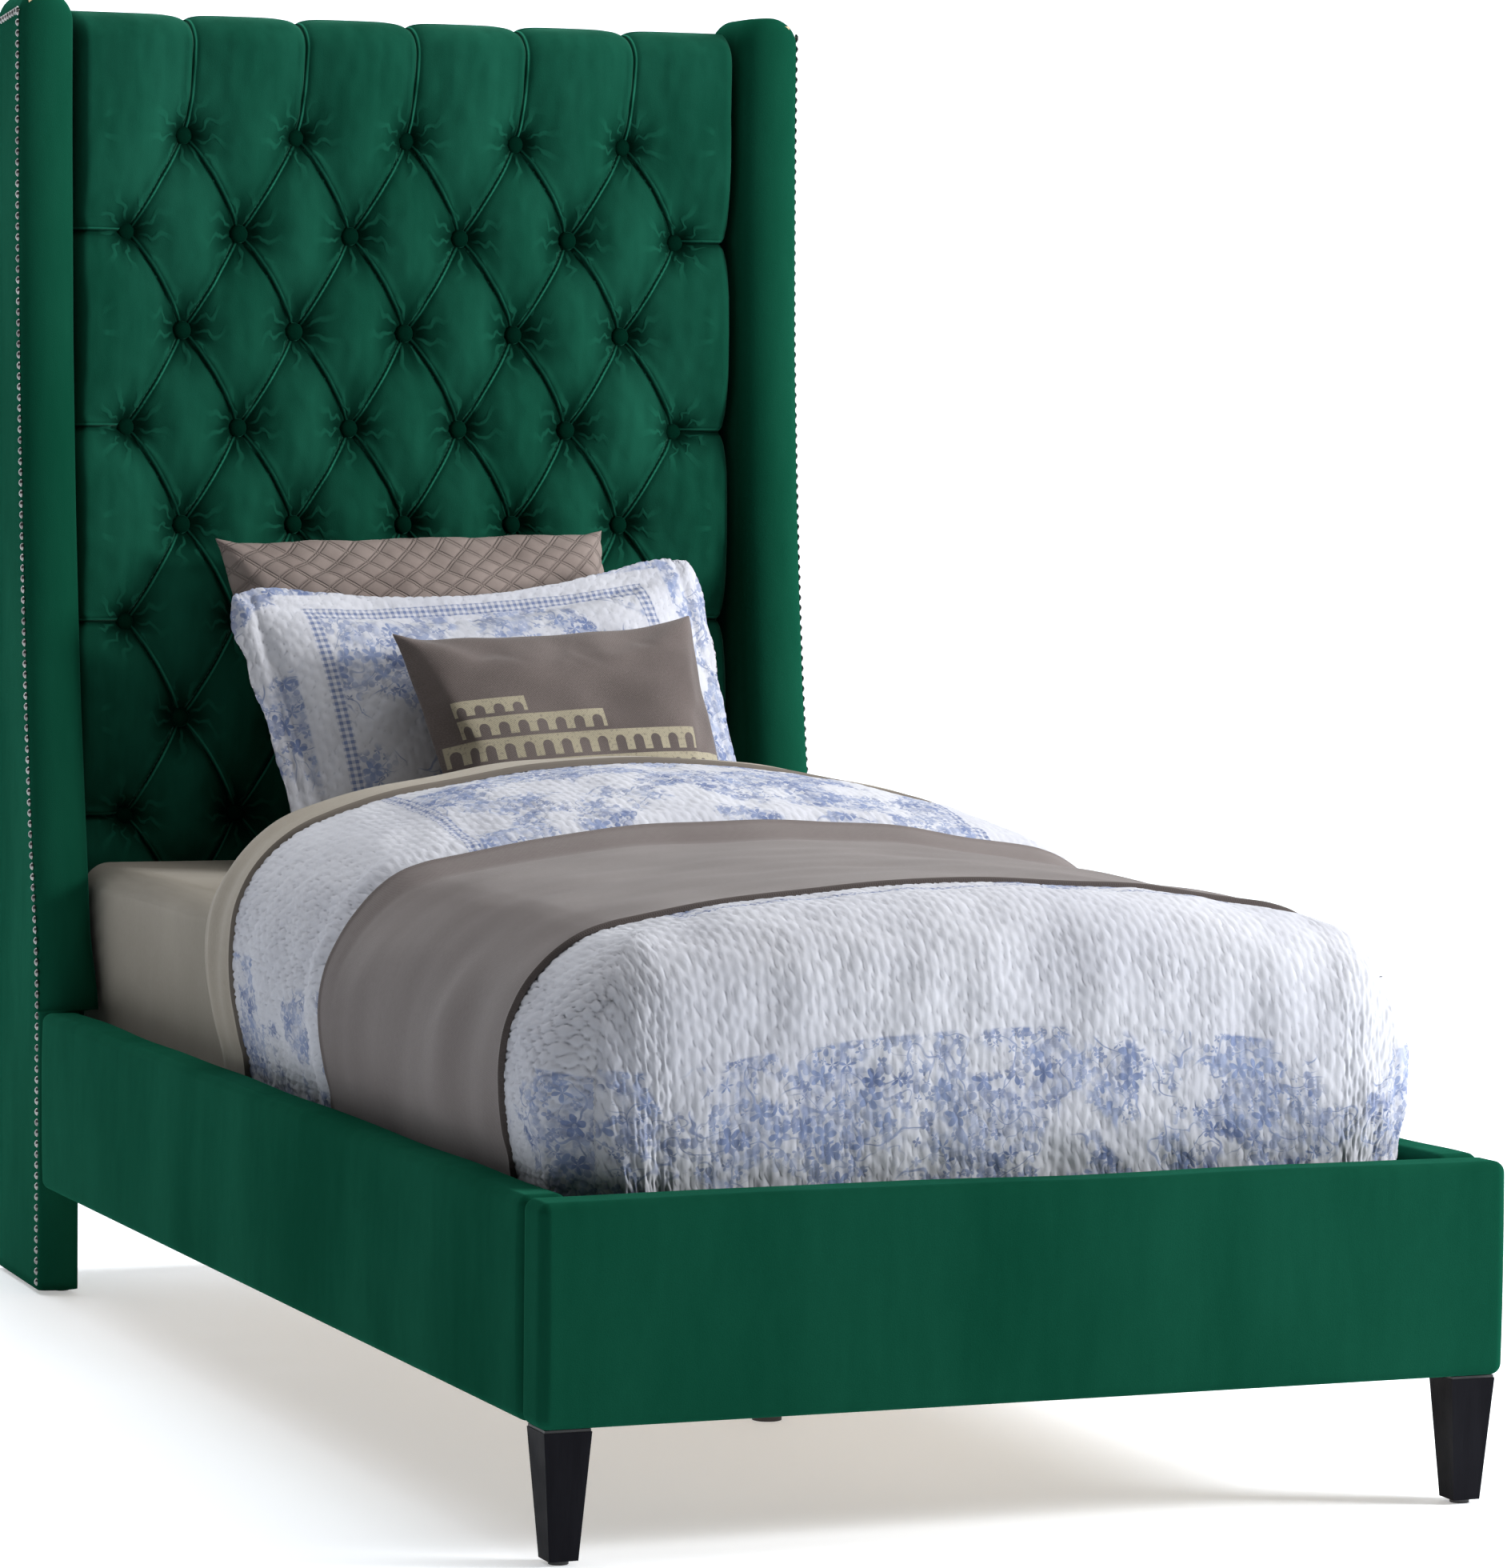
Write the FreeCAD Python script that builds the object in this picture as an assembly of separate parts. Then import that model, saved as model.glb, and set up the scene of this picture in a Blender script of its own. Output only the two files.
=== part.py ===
"""Upholstered wing-back bed, dressed with its mattress, bedding and pillows.

All lengths are millimetres. The origin is on the floor under the middle of the bed, +X is to the
right seen from the foot, +Y runs to the headboard and +Z is up. "left" is the -X side.
"""

import FreeCAD, Part
import os

from FreeCAD import Vector

# ---------------------------------------------------------------- driving dimensions

BED_WIDTH = 1150.0
BED_LENGTH = 2250.0
BED_HEIGHT = 1775.0

RAIL_BOTTOM = 147.0
RAIL_TOP = 388.0
SIDE_RAIL_THICKNESS = 55.0
FOOTBOARD_THICKNESS = 62.0
RAIL_CORE_THICKNESS = 30.0
RAIL_PADDING_TOP = 12.0
RAIL_CORE_COVERING = 12.0
FOOTBOARD_CORE_COVERING = 16.0
RAIL_EDGE_RADIUS = 12.0
FOOTBOARD_CORNER_RADIUS = 15.0

LEG_TOP_WIDTH = 54.0
LEG_FOOT_WIDTH = 33.0
LEG_INSET = 8.0
LEG_PLATE_THICKNESS = 3.0
LEG_GLIDE_HEIGHT = 5.0
LEG_GLIDE_RADIUS = 11.0

WING_WIDTH = 83.0
WING_FRONT_LOW = 860.0
WING_FRONT_HIGH = 978.0
WING_CURVE_TOP = 1600.0
WING_FRONT_RADIUS = 24.0
WING_TOP_RADIUS = 16.0
WING_FLOOR_GAP = 6.0
WING_SPLAY = 10.0
PANEL_THICKNESS = 16.0
PANEL_MARGIN = 12.0
PANEL_COVERING = 14.0
PANEL_BACK_MARGIN = 4.0
WING_LEG_DEPTH = 60.0
WING_GLIDE_RADIUS = 10.0
WING_BOLT_HEIGHTS = (520.0, 900.0, 1280.0, 1650.0)

NAIL_RADIUS = 5.2
NAIL_RISE = 3.2
NAIL_PITCH = 14.6
NAIL_INSET = 20.0
NAIL_SHANK_RADIUS = 0.8
NAIL_SHANK_LENGTH = 20.0
NAIL_TOP_Z = 1748.0
NAIL_TOP_COUNT = 7
NAIL_TOP_ROW_DROP = 1.2

TUFT_FRONT = 1000.0
TUFT_BACK = 1083.0
TUFT_BOTTOM = 305.0
TUFT_TOP = 1755.0
TUFT_COLUMN_PITCH = 163.0
TUFT_ROW_PITCH = 135.0
TUFT_TOP_ROW = 1586.0
TUFT_ROWS = 9
TUFT_DEPTH = 48.0
TUFT_MOUTH_RADIUS = 44.0
BUTTON_RADIUS = 13.0
BUTTON_HEIGHT = 9.0
BUTTON_TIE_RADIUS = 1.2
TUFT_EDGE_RADIUS = 25.0

BOARD_THICKNESS = 12.0
FRAME_DEPTH = 25.0
BACK_COVER_THICKNESS = 3.0
STILE_INNER = 430.0
FRAME_BOTTOM = 200.0
CROSS_RAIL_HEIGHT = 70.0
BOTTOM_RAIL_HEIGHT = 110.0

BOLT_RADIUS = 4.0
BOLT_HEAD_RADIUS = 6.5
BOLT_HEAD_HEIGHT = 4.5
BOLT_CLEARANCE = 0.4
BOLT_END_MARGIN = 6.0
BRACKET_THICKNESS = 3.0
BRACKET_Z = (178.0, 250.0)
BRACKET_BOLT_Z = (196.0, 232.0)
FOOT_BRACKET_ARM = 85.0
FOOT_BRACKET_BOLT_INSET = 22.0
HEAD_BRACKET_HALF_LENGTH = 75.0
HEAD_BRACKET_BOLT_OFFSETS = (-45.0, 42.0)
LEG_BOLT_BELOW = 45.0
LEG_BOLT_ABOVE = 40.0

SLAT_TOP = 300.0
SLAT_THICKNESS = 17.0
SLAT_WIDTH = 70.0
SLAT_COUNT = 13
SLAT_END_GAP = 2.0
SLAT_FOOT_MARGIN = 40.0
SLAT_HEAD_MARGIN = 8.0
SCREW_HEAD_RADIUS = 4.0
SCREW_HEAD_HEIGHT = 2.0
SCREW_RADIUS = 2.0
SCREW_LENGTH = 32.0
LEDGE_SIZE = 25.0
HANGER_REACH = 55.0
HANGER_FLANGE = 25.0
BEAM_WIDTH = 45.0
BEAM_HEIGHT = 70.0
CENTRE_LEG_WIDTH = 40.0
CENTRE_LEG_PLACES = (-350.0, 350.0)
GLIDE_STEM_RADIUS = 5.0
GLIDE_CLEARANCE = 0.05
GLIDE_TRAVEL = 12.0
GLIDE_DISC_RADIUS = 18.0
GLIDE_DISC_HEIGHT = 10.0
GLIDE_DISC_EDGE = 3.0
GLIDE_STEM_TOP = 60.0
GLIDE_END_CLEARANCE = 2.0

MATTRESS_WIDTH = 970.0
MATTRESS_FOOT = -1031.0
MATTRESS_HEAD = 996.0
MATTRESS_TOP = 580.0
MATTRESS_EDGE_RADIUS = 35.0
HEM_Z = 310.0
FITTED_SHEET_THICKNESS = 2.0
SHEET_THICKNESS = 1.5
QUILT_THICKNESS = 8.0
THROW_THICKNESS = 3.0
LAYER_GAP = 0.5

# ---------------------------------------------------------------- values that follow from them

HALF_WIDTH = BED_WIDTH / 2
FOOT_FACE = -BED_LENGTH / 2
HEAD_FACE = BED_LENGTH / 2
FOOTBOARD_INNER = FOOT_FACE + FOOTBOARD_THICKNESS
RAIL_INNER = HALF_WIDTH - SIDE_RAIL_THICKNESS
WING_INNER = HALF_WIDTH - WING_WIDTH
RAIL_CORE_OUTER = HALF_WIDTH - RAIL_CORE_COVERING
RAIL_CORE_INNER = RAIL_CORE_OUTER - RAIL_CORE_THICKNESS
RAIL_HEAD_END = WING_FRONT_LOW
BOARD_BACK = TUFT_BACK + BOARD_THICKNESS
FRAME_BACK = BOARD_BACK + FRAME_DEPTH
SLAT_BOTTOM = SLAT_TOP - SLAT_THICKNESS
PANEL_OUTER = HALF_WIDTH - PANEL_COVERING
PANEL_INNER = PANEL_OUTER - PANEL_THICKNESS
MATTRESS_HALF = MATTRESS_WIDTH / 2
SIDES = (("left", -1), ("right", 1))

nodes = {}


def add(name, *solids):
    """Keep one node: a single solid, or a group of separate ones."""
    nodes[name] = solids[0] if len(solids) == 1 else Part.makeCompound(list(solids))


def block(x_range, y_range, z_range):
    """Box between the given lowest and highest values, in any order."""
    lows = [min(pair) for pair in (x_range, y_range, z_range)]
    sizes = [abs(pair[1] - pair[0]) for pair in (x_range, y_range, z_range)]
    return Part.makeBox(*sizes, Vector(*lows))


def rod(radius, start, end):
    """Round bar from start to end."""
    return Part.makeCylinder(radius, (end - start).Length, start, end - start)


def fillet_where(shape, radius, wanted):
    """Round every edge whose middle point satisfies `wanted`."""
    edges = [edge for edge in shape.Edges if wanted(edge.CenterOfMass)]
    return shape.makeFillet(radius, edges)


def near(value, target):
    return abs(value - target) < 0.5


def solid_of(shape):
    """The single solid a boolean leaves inside its compound."""
    return shape.Solids[0] if len(shape.Solids) == 1 else shape


def bolt(start, end):
    """Bolt whose head lies against `start` and whose shank ends at `end`."""
    along = end - start
    along.normalize()
    head = rod(BOLT_HEAD_RADIUS, start - along * BOLT_HEAD_HEIGHT, start)
    return head.fuse(rod(BOLT_RADIUS, start, end)).removeSplitter()


# ---------------------------------------------------------------- wings

def wing_front_path(offset, low_z, high_z):
    """S-curved front line of a wing at x = 0, moved back by `offset`."""
    knee = Vector(0, WING_FRONT_LOW + offset, RAIL_TOP)
    crest = Vector(0, WING_FRONT_HIGH + offset, WING_CURVE_TOP)
    waist = Vector(0, WING_FRONT_LOW + 24.0 + offset, 560.0)
    middle = Vector(0, WING_FRONT_LOW + 65.0 + offset, 806.0)
    shoulder = Vector(0, WING_FRONT_LOW + 96.0 + offset, 1098.0)
    curve = Part.BSplineCurve()
    curve.interpolate(
        Points=[knee, waist, middle, shoulder, crest],
        InitialTangent=Vector(0, 0, 1),
        FinalTangent=Vector(0, 0, 1),
    )
    below = Part.LineSegment(Vector(0, knee.y, low_z), knee)
    above = Part.LineSegment(crest, Vector(0, crest.y, high_z))
    return Part.Wire([below.toShape(), curve.toShape(), above.toShape()])


def wing_profile(offset, low_z, high_z, back):
    """Closed side outline of a wing between its front line and the vertical back."""
    front = wing_front_path(offset, low_z, high_z)
    corners = [
        Vector(0, WING_FRONT_HIGH + offset, high_z),
        Vector(0, back, high_z),
        Vector(0, back, low_z),
        Vector(0, WING_FRONT_LOW + offset, low_z),
    ]
    rest = [Part.LineSegment(a, b).toShape() for a, b in zip(corners, corners[1:])]
    return Part.Face(Part.Wire(front.Edges + rest))


def extruded_wing(face, inner, outer):
    face = face.copy()
    face.translate(Vector(inner, 0, 0))
    return face.extrude(Vector(outer - inner, 0, 0))


SPLAY_FOOT_Y = 880.0
SPLAY_TOP_Y = 990.0


def outer_face_x(y, z):
    """Distance of the splayed outer face of a wing from the middle of the bed."""
    start = SPLAY_FOOT_Y + (SPLAY_TOP_Y - SPLAY_FOOT_Y) * z / BED_HEIGHT
    return HALF_WIDTH - max(0.0, y - start) * WING_SPLAY / (HEAD_FACE - SPLAY_FOOT_Y)


def splay_wedge():
    """Waste outside the outer face of the right wing."""
    reach = 60.0
    behind = HEAD_FACE + reach
    corners = [
        Vector(HALF_WIDTH, SPLAY_FOOT_Y, 0),
        Vector(outer_face_x(behind, 0), behind, 0),
        Vector(outer_face_x(behind, BED_HEIGHT), behind, BED_HEIGHT),
        Vector(HALF_WIDTH, SPLAY_TOP_Y, BED_HEIGHT),
    ]
    return Part.Face(Part.makePolygon(corners + corners[:1])).extrude(Vector(reach, 0, 0))


POST_FRONT = 1056.0
POST_BACK = 1116.0
POST_INNER = 506.0
POST_TOP = 1740.0
LOWER_POST_INNER = 523.0
STEP_Z = RAIL_TOP + 4.0


def right_wing_timbers():
    """Plywood side panel, full-height post and short front leg post of the right wing."""
    panel_back = HEAD_FACE - PANEL_BACK_MARGIN
    face = wing_profile(PANEL_MARGIN, WING_FLOOR_GAP, BED_HEIGHT - PANEL_MARGIN, panel_back)
    panel = extruded_wing(face, PANEL_INNER, PANEL_OUTER)
    upper = block((POST_INNER, PANEL_INNER), (POST_FRONT, POST_BACK), (STEP_Z, POST_TOP))
    lower = block((LOWER_POST_INNER, PANEL_INNER), (POST_FRONT, POST_BACK), (WING_FLOOR_GAP, STEP_Z))
    post = upper.fuse(lower).removeSplitter()
    leg_front = WING_FRONT_LOW + PANEL_MARGIN
    leg_depth = (leg_front, leg_front + WING_LEG_DEPTH)
    leg = block((LOWER_POST_INNER, PANEL_INNER), leg_depth, (WING_FLOOR_GAP, RAIL_TOP))
    return panel, solid_of(post), leg


def right_wing_pad(timbers):
    """Velvet-covered padding round the right wing's timbers, with a rounded front roll."""
    face = wing_profile(0.0, WING_FLOOR_GAP, BED_HEIGHT, HEAD_FACE)
    pad = extruded_wing(face, WING_INNER, HALF_WIDTH)
    on_front = lambda p: p.y < WING_FRONT_HIGH + 1 and WING_FLOOR_GAP + 1 < p.z < BED_HEIGHT - 1
    pad = fillet_where(pad, WING_FRONT_RADIUS, on_front)
    pad = fillet_where(pad, WING_TOP_RADIUS, lambda p: near(p.z, BED_HEIGHT) and p.y < HEAD_FACE - 1)
    pad = pad.cut(splay_wedge())
    pad = pad.cut(block((WING_INNER - 1, RAIL_INNER), (WING_FRONT_LOW - 1, HEAD_FACE + 1), (0, RAIL_TOP)))
    for timber in timbers:
        pad = pad.cut(timber)
    return solid_of(pad)


def mirrored(shape, sign):
    """The shape itself for the right side, its mirror image for the left."""
    return shape if sign > 0 else shape.mirror(Vector(0, 0, 0), Vector(1, 0, 0))


def nail(y, z):
    """Domed nailhead with its shank, on the outer face of the right wing."""
    face_x = outer_face_x(y, z)
    ball_radius = (NAIL_RADIUS ** 2 + NAIL_RISE ** 2) / (2 * NAIL_RISE)
    centre = Vector(face_x + NAIL_RISE - ball_radius, y, z)
    ball = Part.makeSphere(ball_radius, centre)
    keep = block((face_x, face_x + 2 * NAIL_RISE), (y - 9, y + 9), (z - 9, z + 9))
    shank = rod(NAIL_SHANK_RADIUS, Vector(face_x - NAIL_SHANK_LENGTH, y, z), Vector(face_x + 1, y, z))
    return solid_of(ball.common(keep).fuse(shank).removeSplitter())


def nail_places():
    """(y, z) of every nail: up the front line, then back across the top."""
    line = wing_front_path(NAIL_INSET, WING_FLOOR_GAP + 10.0, NAIL_TOP_Z)
    places = [(p.y, p.z) for p in line.discretize(Distance=NAIL_PITCH)]
    last_y, last_z = places[-1]
    for index in range(1, NAIL_TOP_COUNT + 1):
        places.append((last_y + NAIL_PITCH * index, last_z - NAIL_TOP_ROW_DROP * index))
    return places


def make_wings():
    bolts = []
    glides = []
    post_centre_y = (POST_FRONT + POST_BACK) / 2
    leg_centre_y = WING_FRONT_LOW + PANEL_MARGIN + WING_LEG_DEPTH / 2
    timber_centre_x = (LOWER_POST_INNER + PANEL_INNER) / 2
    for side, sign in SIDES:
        timbers = right_wing_timbers()
        panel, post, leg = timbers
        add("wing_panel_" + side, mirrored(panel, sign))
        add("wing_post_" + side, mirrored(post, sign))
        add("wing_leg_" + side, mirrored(leg, sign))
        add("wing_pad_" + side, mirrored(right_wing_pad(timbers), sign))
        nails = [mirrored(nail(y, z), sign) for y, z in nail_places()]
        add("nailheads_" + side, *nails)
        for z in WING_BOLT_HEIGHTS:
            middle_y = (BOARD_BACK + FRAME_BACK) / 2
            start = Vector(sign * STILE_INNER, middle_y, z)
            bolts.append(bolt(start, Vector(sign * (PANEL_INNER - BOLT_END_MARGIN), middle_y, z)))
        for y in (leg_centre_y, post_centre_y):
            foot = Vector(sign * timber_centre_x, y, 0)
            glides.append(Part.makeCylinder(WING_GLIDE_RADIUS, WING_FLOOR_GAP, foot))
    add("wing_bolts", *bolts)
    add("wing_glides", *glides)


# ---------------------------------------------------------------- headboard

BOARD_HALF = WING_INNER - 4.0
BOARD_TOP = TUFT_TOP - 10.0


def button_places():
    """(x, z) of the buttons: rows of five and six by turns, each half a pitch from the last."""
    places = []
    for row in range(TUFT_ROWS):
        count = 5 + row % 2
        for column in range(count):
            x = (column - (count - 1) / 2) * TUFT_COLUMN_PITCH
            places.append((x, TUFT_TOP_ROW - row * TUFT_ROW_PITCH))
    return places


def make_tufting():
    pad = block((-WING_INNER + 0.5, WING_INNER - 0.5), (TUFT_FRONT, TUFT_BACK), (TUFT_BOTTOM, TUFT_TOP))
    pad = fillet_where(pad, TUFT_EDGE_RADIUS, lambda p: near(p.y, TUFT_FRONT) and near(p.z, TUFT_TOP))
    seat_y = TUFT_FRONT + TUFT_DEPTH
    towards_front = Vector(0, -1, 0)
    dimples = []
    buttons = []
    ties = []
    for x, z in button_places():
        seat = Vector(x, seat_y, z)
        dimples.append(Part.makeCone(BUTTON_RADIUS + 1, TUFT_MOUTH_RADIUS, TUFT_DEPTH, seat, towards_front))
        button = Part.makeCylinder(BUTTON_RADIUS, BUTTON_HEIGHT, seat, towards_front)
        rim = lambda p: near(p.y, seat_y - BUTTON_HEIGHT)
        buttons.append(fillet_where(button, BUTTON_HEIGHT * 0.8, rim))
        ties.append(rod(BUTTON_TIE_RADIUS, seat - Vector(0, 1, 0), Vector(x, BOARD_BACK - 0.2, z)))
    add("tufted_pad", solid_of(pad.cut(Part.makeCompound(dimples))))
    add("tufting_buttons", *buttons)
    add("button_ties", *ties)


def make_headboard_frame():
    depth = (BOARD_BACK, FRAME_BACK)
    board_depth = (TUFT_BACK, BOARD_BACK)
    add("headboard_board", block((-BOARD_HALF, BOARD_HALF), board_depth, (TUFT_BOTTOM, BOARD_TOP)))
    for side, sign in SIDES:
        stile = block((sign * STILE_INNER, sign * BOARD_HALF), depth, (FRAME_BOTTOM, BOARD_TOP))
        add("headboard_stile_" + side, stile)
    span = (-STILE_INNER, STILE_INNER)
    middle_z = (FRAME_BOTTOM + BOARD_TOP) / 2
    add("headboard_rail_top", block(span, depth, (BOARD_TOP - CROSS_RAIL_HEIGHT, BOARD_TOP)))
    add("headboard_rail_middle", block(span, depth, (middle_z, middle_z + CROSS_RAIL_HEIGHT)))
    add("headboard_rail_bottom", block(span, depth, (FRAME_BOTTOM, FRAME_BOTTOM + BOTTOM_RAIL_HEIGHT)))
    cover_front = FRAME_BACK + 1.0
    cover_depth = (cover_front, cover_front + BACK_COVER_THICKNESS)
    cover_span = (-WING_INNER + 1, WING_INNER - 1)
    add("headboard_back_cover", block(cover_span, cover_depth, (FRAME_BOTTOM, TUFT_TOP - 5)))


# ---------------------------------------------------------------- rails, footboard and legs

def side_rail(sign):
    core_z = (RAIL_BOTTOM, RAIL_TOP - RAIL_PADDING_TOP)
    length = (FOOTBOARD_INNER, RAIL_HEAD_END)
    core = block((sign * RAIL_CORE_INNER, sign * RAIL_CORE_OUTER), length, core_z)
    cover = block((sign * RAIL_INNER, sign * HALF_WIDTH), length, (RAIL_BOTTOM, RAIL_TOP))
    top_edges = lambda p: near(p.z, RAIL_TOP) and near(p.y, sum(length) / 2)
    cover = fillet_where(cover, RAIL_EDGE_RADIUS, top_edges)
    return core, solid_of(cover.cut(core))


def footboard():
    core_front = FOOT_FACE + FOOTBOARD_CORE_COVERING
    core_depth = (core_front, core_front + RAIL_CORE_THICKNESS)
    core_span = (-RAIL_CORE_OUTER, RAIL_CORE_OUTER)
    core = block(core_span, core_depth, (RAIL_BOTTOM, RAIL_TOP - RAIL_PADDING_TOP))
    cover = block((-HALF_WIDTH, HALF_WIDTH), (FOOT_FACE, FOOTBOARD_INNER), (RAIL_BOTTOM, RAIL_TOP))
    corners = lambda p: near(p.y, FOOT_FACE) and near(abs(p.x), HALF_WIDTH)
    cover = fillet_where(cover, FOOTBOARD_CORNER_RADIUS, corners)
    top_edges = lambda p: near(p.z, RAIL_TOP)
    cover = fillet_where(cover, RAIL_EDGE_RADIUS, top_edges)
    return core, solid_of(cover.cut(core))


def drilled(plate, bolts):
    """Plate with a clearance hole round every bolt that crosses it."""
    for shank in bolts:
        for face in shank.Faces:
            surface = face.Surface
            if isinstance(surface, Part.Cylinder) and near(surface.Radius, BOLT_RADIUS):
                axis = surface.Axis
                middle = face.CenterOfMass
                reach = axis * face.BoundBox.DiagonalLength
                plate = plate.cut(rod(BOLT_RADIUS + BOLT_CLEARANCE, middle - reach, middle + reach))
    return solid_of(plate)


def foot_bracket(sign):
    """Steel angle in the corner between a side rail and the footboard, and its bolts."""
    arm_end = FOOTBOARD_INNER + FOOT_BRACKET_ARM
    on_rail = (sign * (RAIL_INNER - BRACKET_THICKNESS), sign * RAIL_INNER)
    rail_arm = block(on_rail, (FOOTBOARD_INNER, arm_end), BRACKET_Z)
    on_board = (FOOTBOARD_INNER, FOOTBOARD_INNER + BRACKET_THICKNESS)
    arm_tip = RAIL_INNER - FOOT_BRACKET_ARM
    board_arm = block((sign * arm_tip, sign * RAIL_INNER), on_board, BRACKET_Z)
    bolts = []
    for z in BRACKET_BOLT_Z:
        head_x = sign * (RAIL_INNER - BRACKET_THICKNESS)
        y = arm_end - FOOT_BRACKET_BOLT_INSET
        rail_end_x = sign * (RAIL_CORE_OUTER - BOLT_END_MARGIN)
        bolts.append(bolt(Vector(head_x, y, z), Vector(rail_end_x, y, z)))
        x = sign * (arm_tip + FOOT_BRACKET_BOLT_INSET)
        head_y = FOOTBOARD_INNER + BRACKET_THICKNESS
        end_y = FOOT_FACE + FOOTBOARD_CORE_COVERING + BOLT_END_MARGIN
        bolts.append(bolt(Vector(x, head_y, z), Vector(x, end_y, z)))
    return drilled(rail_arm.fuse(board_arm).removeSplitter(), bolts), bolts


def head_bracket(sign):
    """Steel plate that joins a side rail to the front leg of its wing, and its bolts."""
    on_rail = (sign * (RAIL_INNER - BRACKET_THICKNESS), sign * RAIL_INNER)
    ends = (RAIL_HEAD_END - HEAD_BRACKET_HALF_LENGTH, RAIL_HEAD_END + HEAD_BRACKET_HALF_LENGTH)
    plate = block(on_rail, ends, BRACKET_Z)
    bolts = []
    for z in BRACKET_BOLT_Z:
        for offset in HEAD_BRACKET_BOLT_OFFSETS:
            y = RAIL_HEAD_END + offset
            start = Vector(sign * (RAIL_INNER - BRACKET_THICKNESS), y, z)
            bolts.append(bolt(start, Vector(sign * (PANEL_INNER - BOLT_END_MARGIN), y, z)))
    return drilled(plate, bolts), bolts


def make_rails():
    for side, sign in SIDES:
        core, cover = side_rail(sign)
        add("side_rail_core_" + side, core)
        add("side_rail_cover_" + side, cover)
        inner = sign * (RAIL_INNER - LEDGE_SIZE)
        ledge_length = (FOOTBOARD_INNER + 4, RAIL_HEAD_END)
        ledge = block((inner, sign * RAIL_INNER), ledge_length, (SLAT_BOTTOM - LEDGE_SIZE, SLAT_BOTTOM))
        add("slat_ledge_" + side, ledge)
    core, cover = footboard()
    add("footboard_core", core)
    add("footboard_cover", cover)
    bolts = []
    for side, sign in SIDES:
        for place, make in (("foot", foot_bracket), ("head", head_bracket)):
            bracket, own_bolts = make(sign)
            add(place + "_bracket_" + side, bracket)
            bolts += own_bolts
    add("bracket_bolts", *bolts)


def square(width, centre, z):
    half = width / 2
    corners = [(-half, -half), (half, -half), (half, half), (-half, half)]
    points = [Vector(centre.x + dx, centre.y + dy, z) for dx, dy in corners]
    return Part.makePolygon(points + points[:1])


def make_front_legs():
    half = LEG_TOP_WIDTH / 2
    plate_bottom = RAIL_BOTTOM - LEG_PLATE_THICKNESS
    bolts = []
    glides = []
    for side, sign in SIDES:
        centre = Vector(sign * (HALF_WIDTH - LEG_INSET - half), FOOT_FACE + LEG_INSET + half, 0)
        foot = square(LEG_FOOT_WIDTH, centre, LEG_GLIDE_HEIGHT)
        head = square(LEG_TOP_WIDTH, centre, plate_bottom)
        add("front_leg_" + side, Part.makeLoft([foot, head], True, True))
        plate_half = half - 1
        plate = block(
            (centre.x - plate_half, centre.x + plate_half),
            (centre.y - plate_half, centre.y + plate_half),
            (plate_bottom, RAIL_BOTTOM),
        )
        lowest = centre + Vector(0, 0, plate_bottom - LEG_BOLT_BELOW)
        hanger = rod(BOLT_RADIUS, lowest, centre + Vector(0, 0, RAIL_BOTTOM + LEG_BOLT_ABOVE))
        add("leg_plate_" + side, drilled(plate, [hanger]))
        bolts.append(hanger)
        glides.append(Part.makeCylinder(LEG_GLIDE_RADIUS, LEG_GLIDE_HEIGHT, centre))
    add("leg_bolts", *bolts)
    add("leg_glides", *glides)


# ---------------------------------------------------------------- mattress support

def make_slats():
    half = RAIL_INNER - SLAT_END_GAP
    first = FOOTBOARD_INNER + SLAT_FOOT_MARGIN
    last = RAIL_HEAD_END - SLAT_HEAD_MARGIN - SLAT_WIDTH
    step = (last - first) / (SLAT_COUNT - 1)
    slats = []
    screws = []
    for index in range(SLAT_COUNT):
        y = first + index * step
        slats.append(block((-half, half), (y, y + SLAT_WIDTH), (SLAT_BOTTOM, SLAT_TOP)))
        for sign in (-1, 1):
            top = Vector(sign * (RAIL_INNER - LEDGE_SIZE / 2), y + SLAT_WIDTH / 2, SLAT_TOP)
            head = rod(SCREW_HEAD_RADIUS, top - Vector(0, 0, SCREW_HEAD_HEIGHT), top)
            shank = rod(SCREW_RADIUS, top - Vector(0, 0, SCREW_LENGTH), top - Vector(0, 0, 1.0))
            screws.append(solid_of(head.fuse(shank).removeSplitter()))
    add("slats", *slats)
    add("slat_screws", *screws)


def beam_hanger(end_y, direction):
    """U-shaped steel hanger: plate, two cheeks and a seat for one end of the beam."""
    half = BEAM_WIDTH / 2
    t = BRACKET_THICKNESS
    bottom = SLAT_BOTTOM - BEAM_HEIGHT
    flange = half + HANGER_FLANGE
    plate = block((-flange, flange), (end_y, end_y + direction * t), (bottom - t, SLAT_BOTTOM - 5))
    along = (end_y, end_y + direction * HANGER_REACH)
    seat = block((-half - t, half + t), along, (bottom - t, bottom))
    hanger = plate.fuse(seat)
    for sign in (-1, 1):
        hanger = hanger.fuse(block((sign * half, sign * (half + t)), along, (bottom - t, SLAT_BOTTOM - 20)))
    return solid_of(hanger.removeSplitter())


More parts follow.
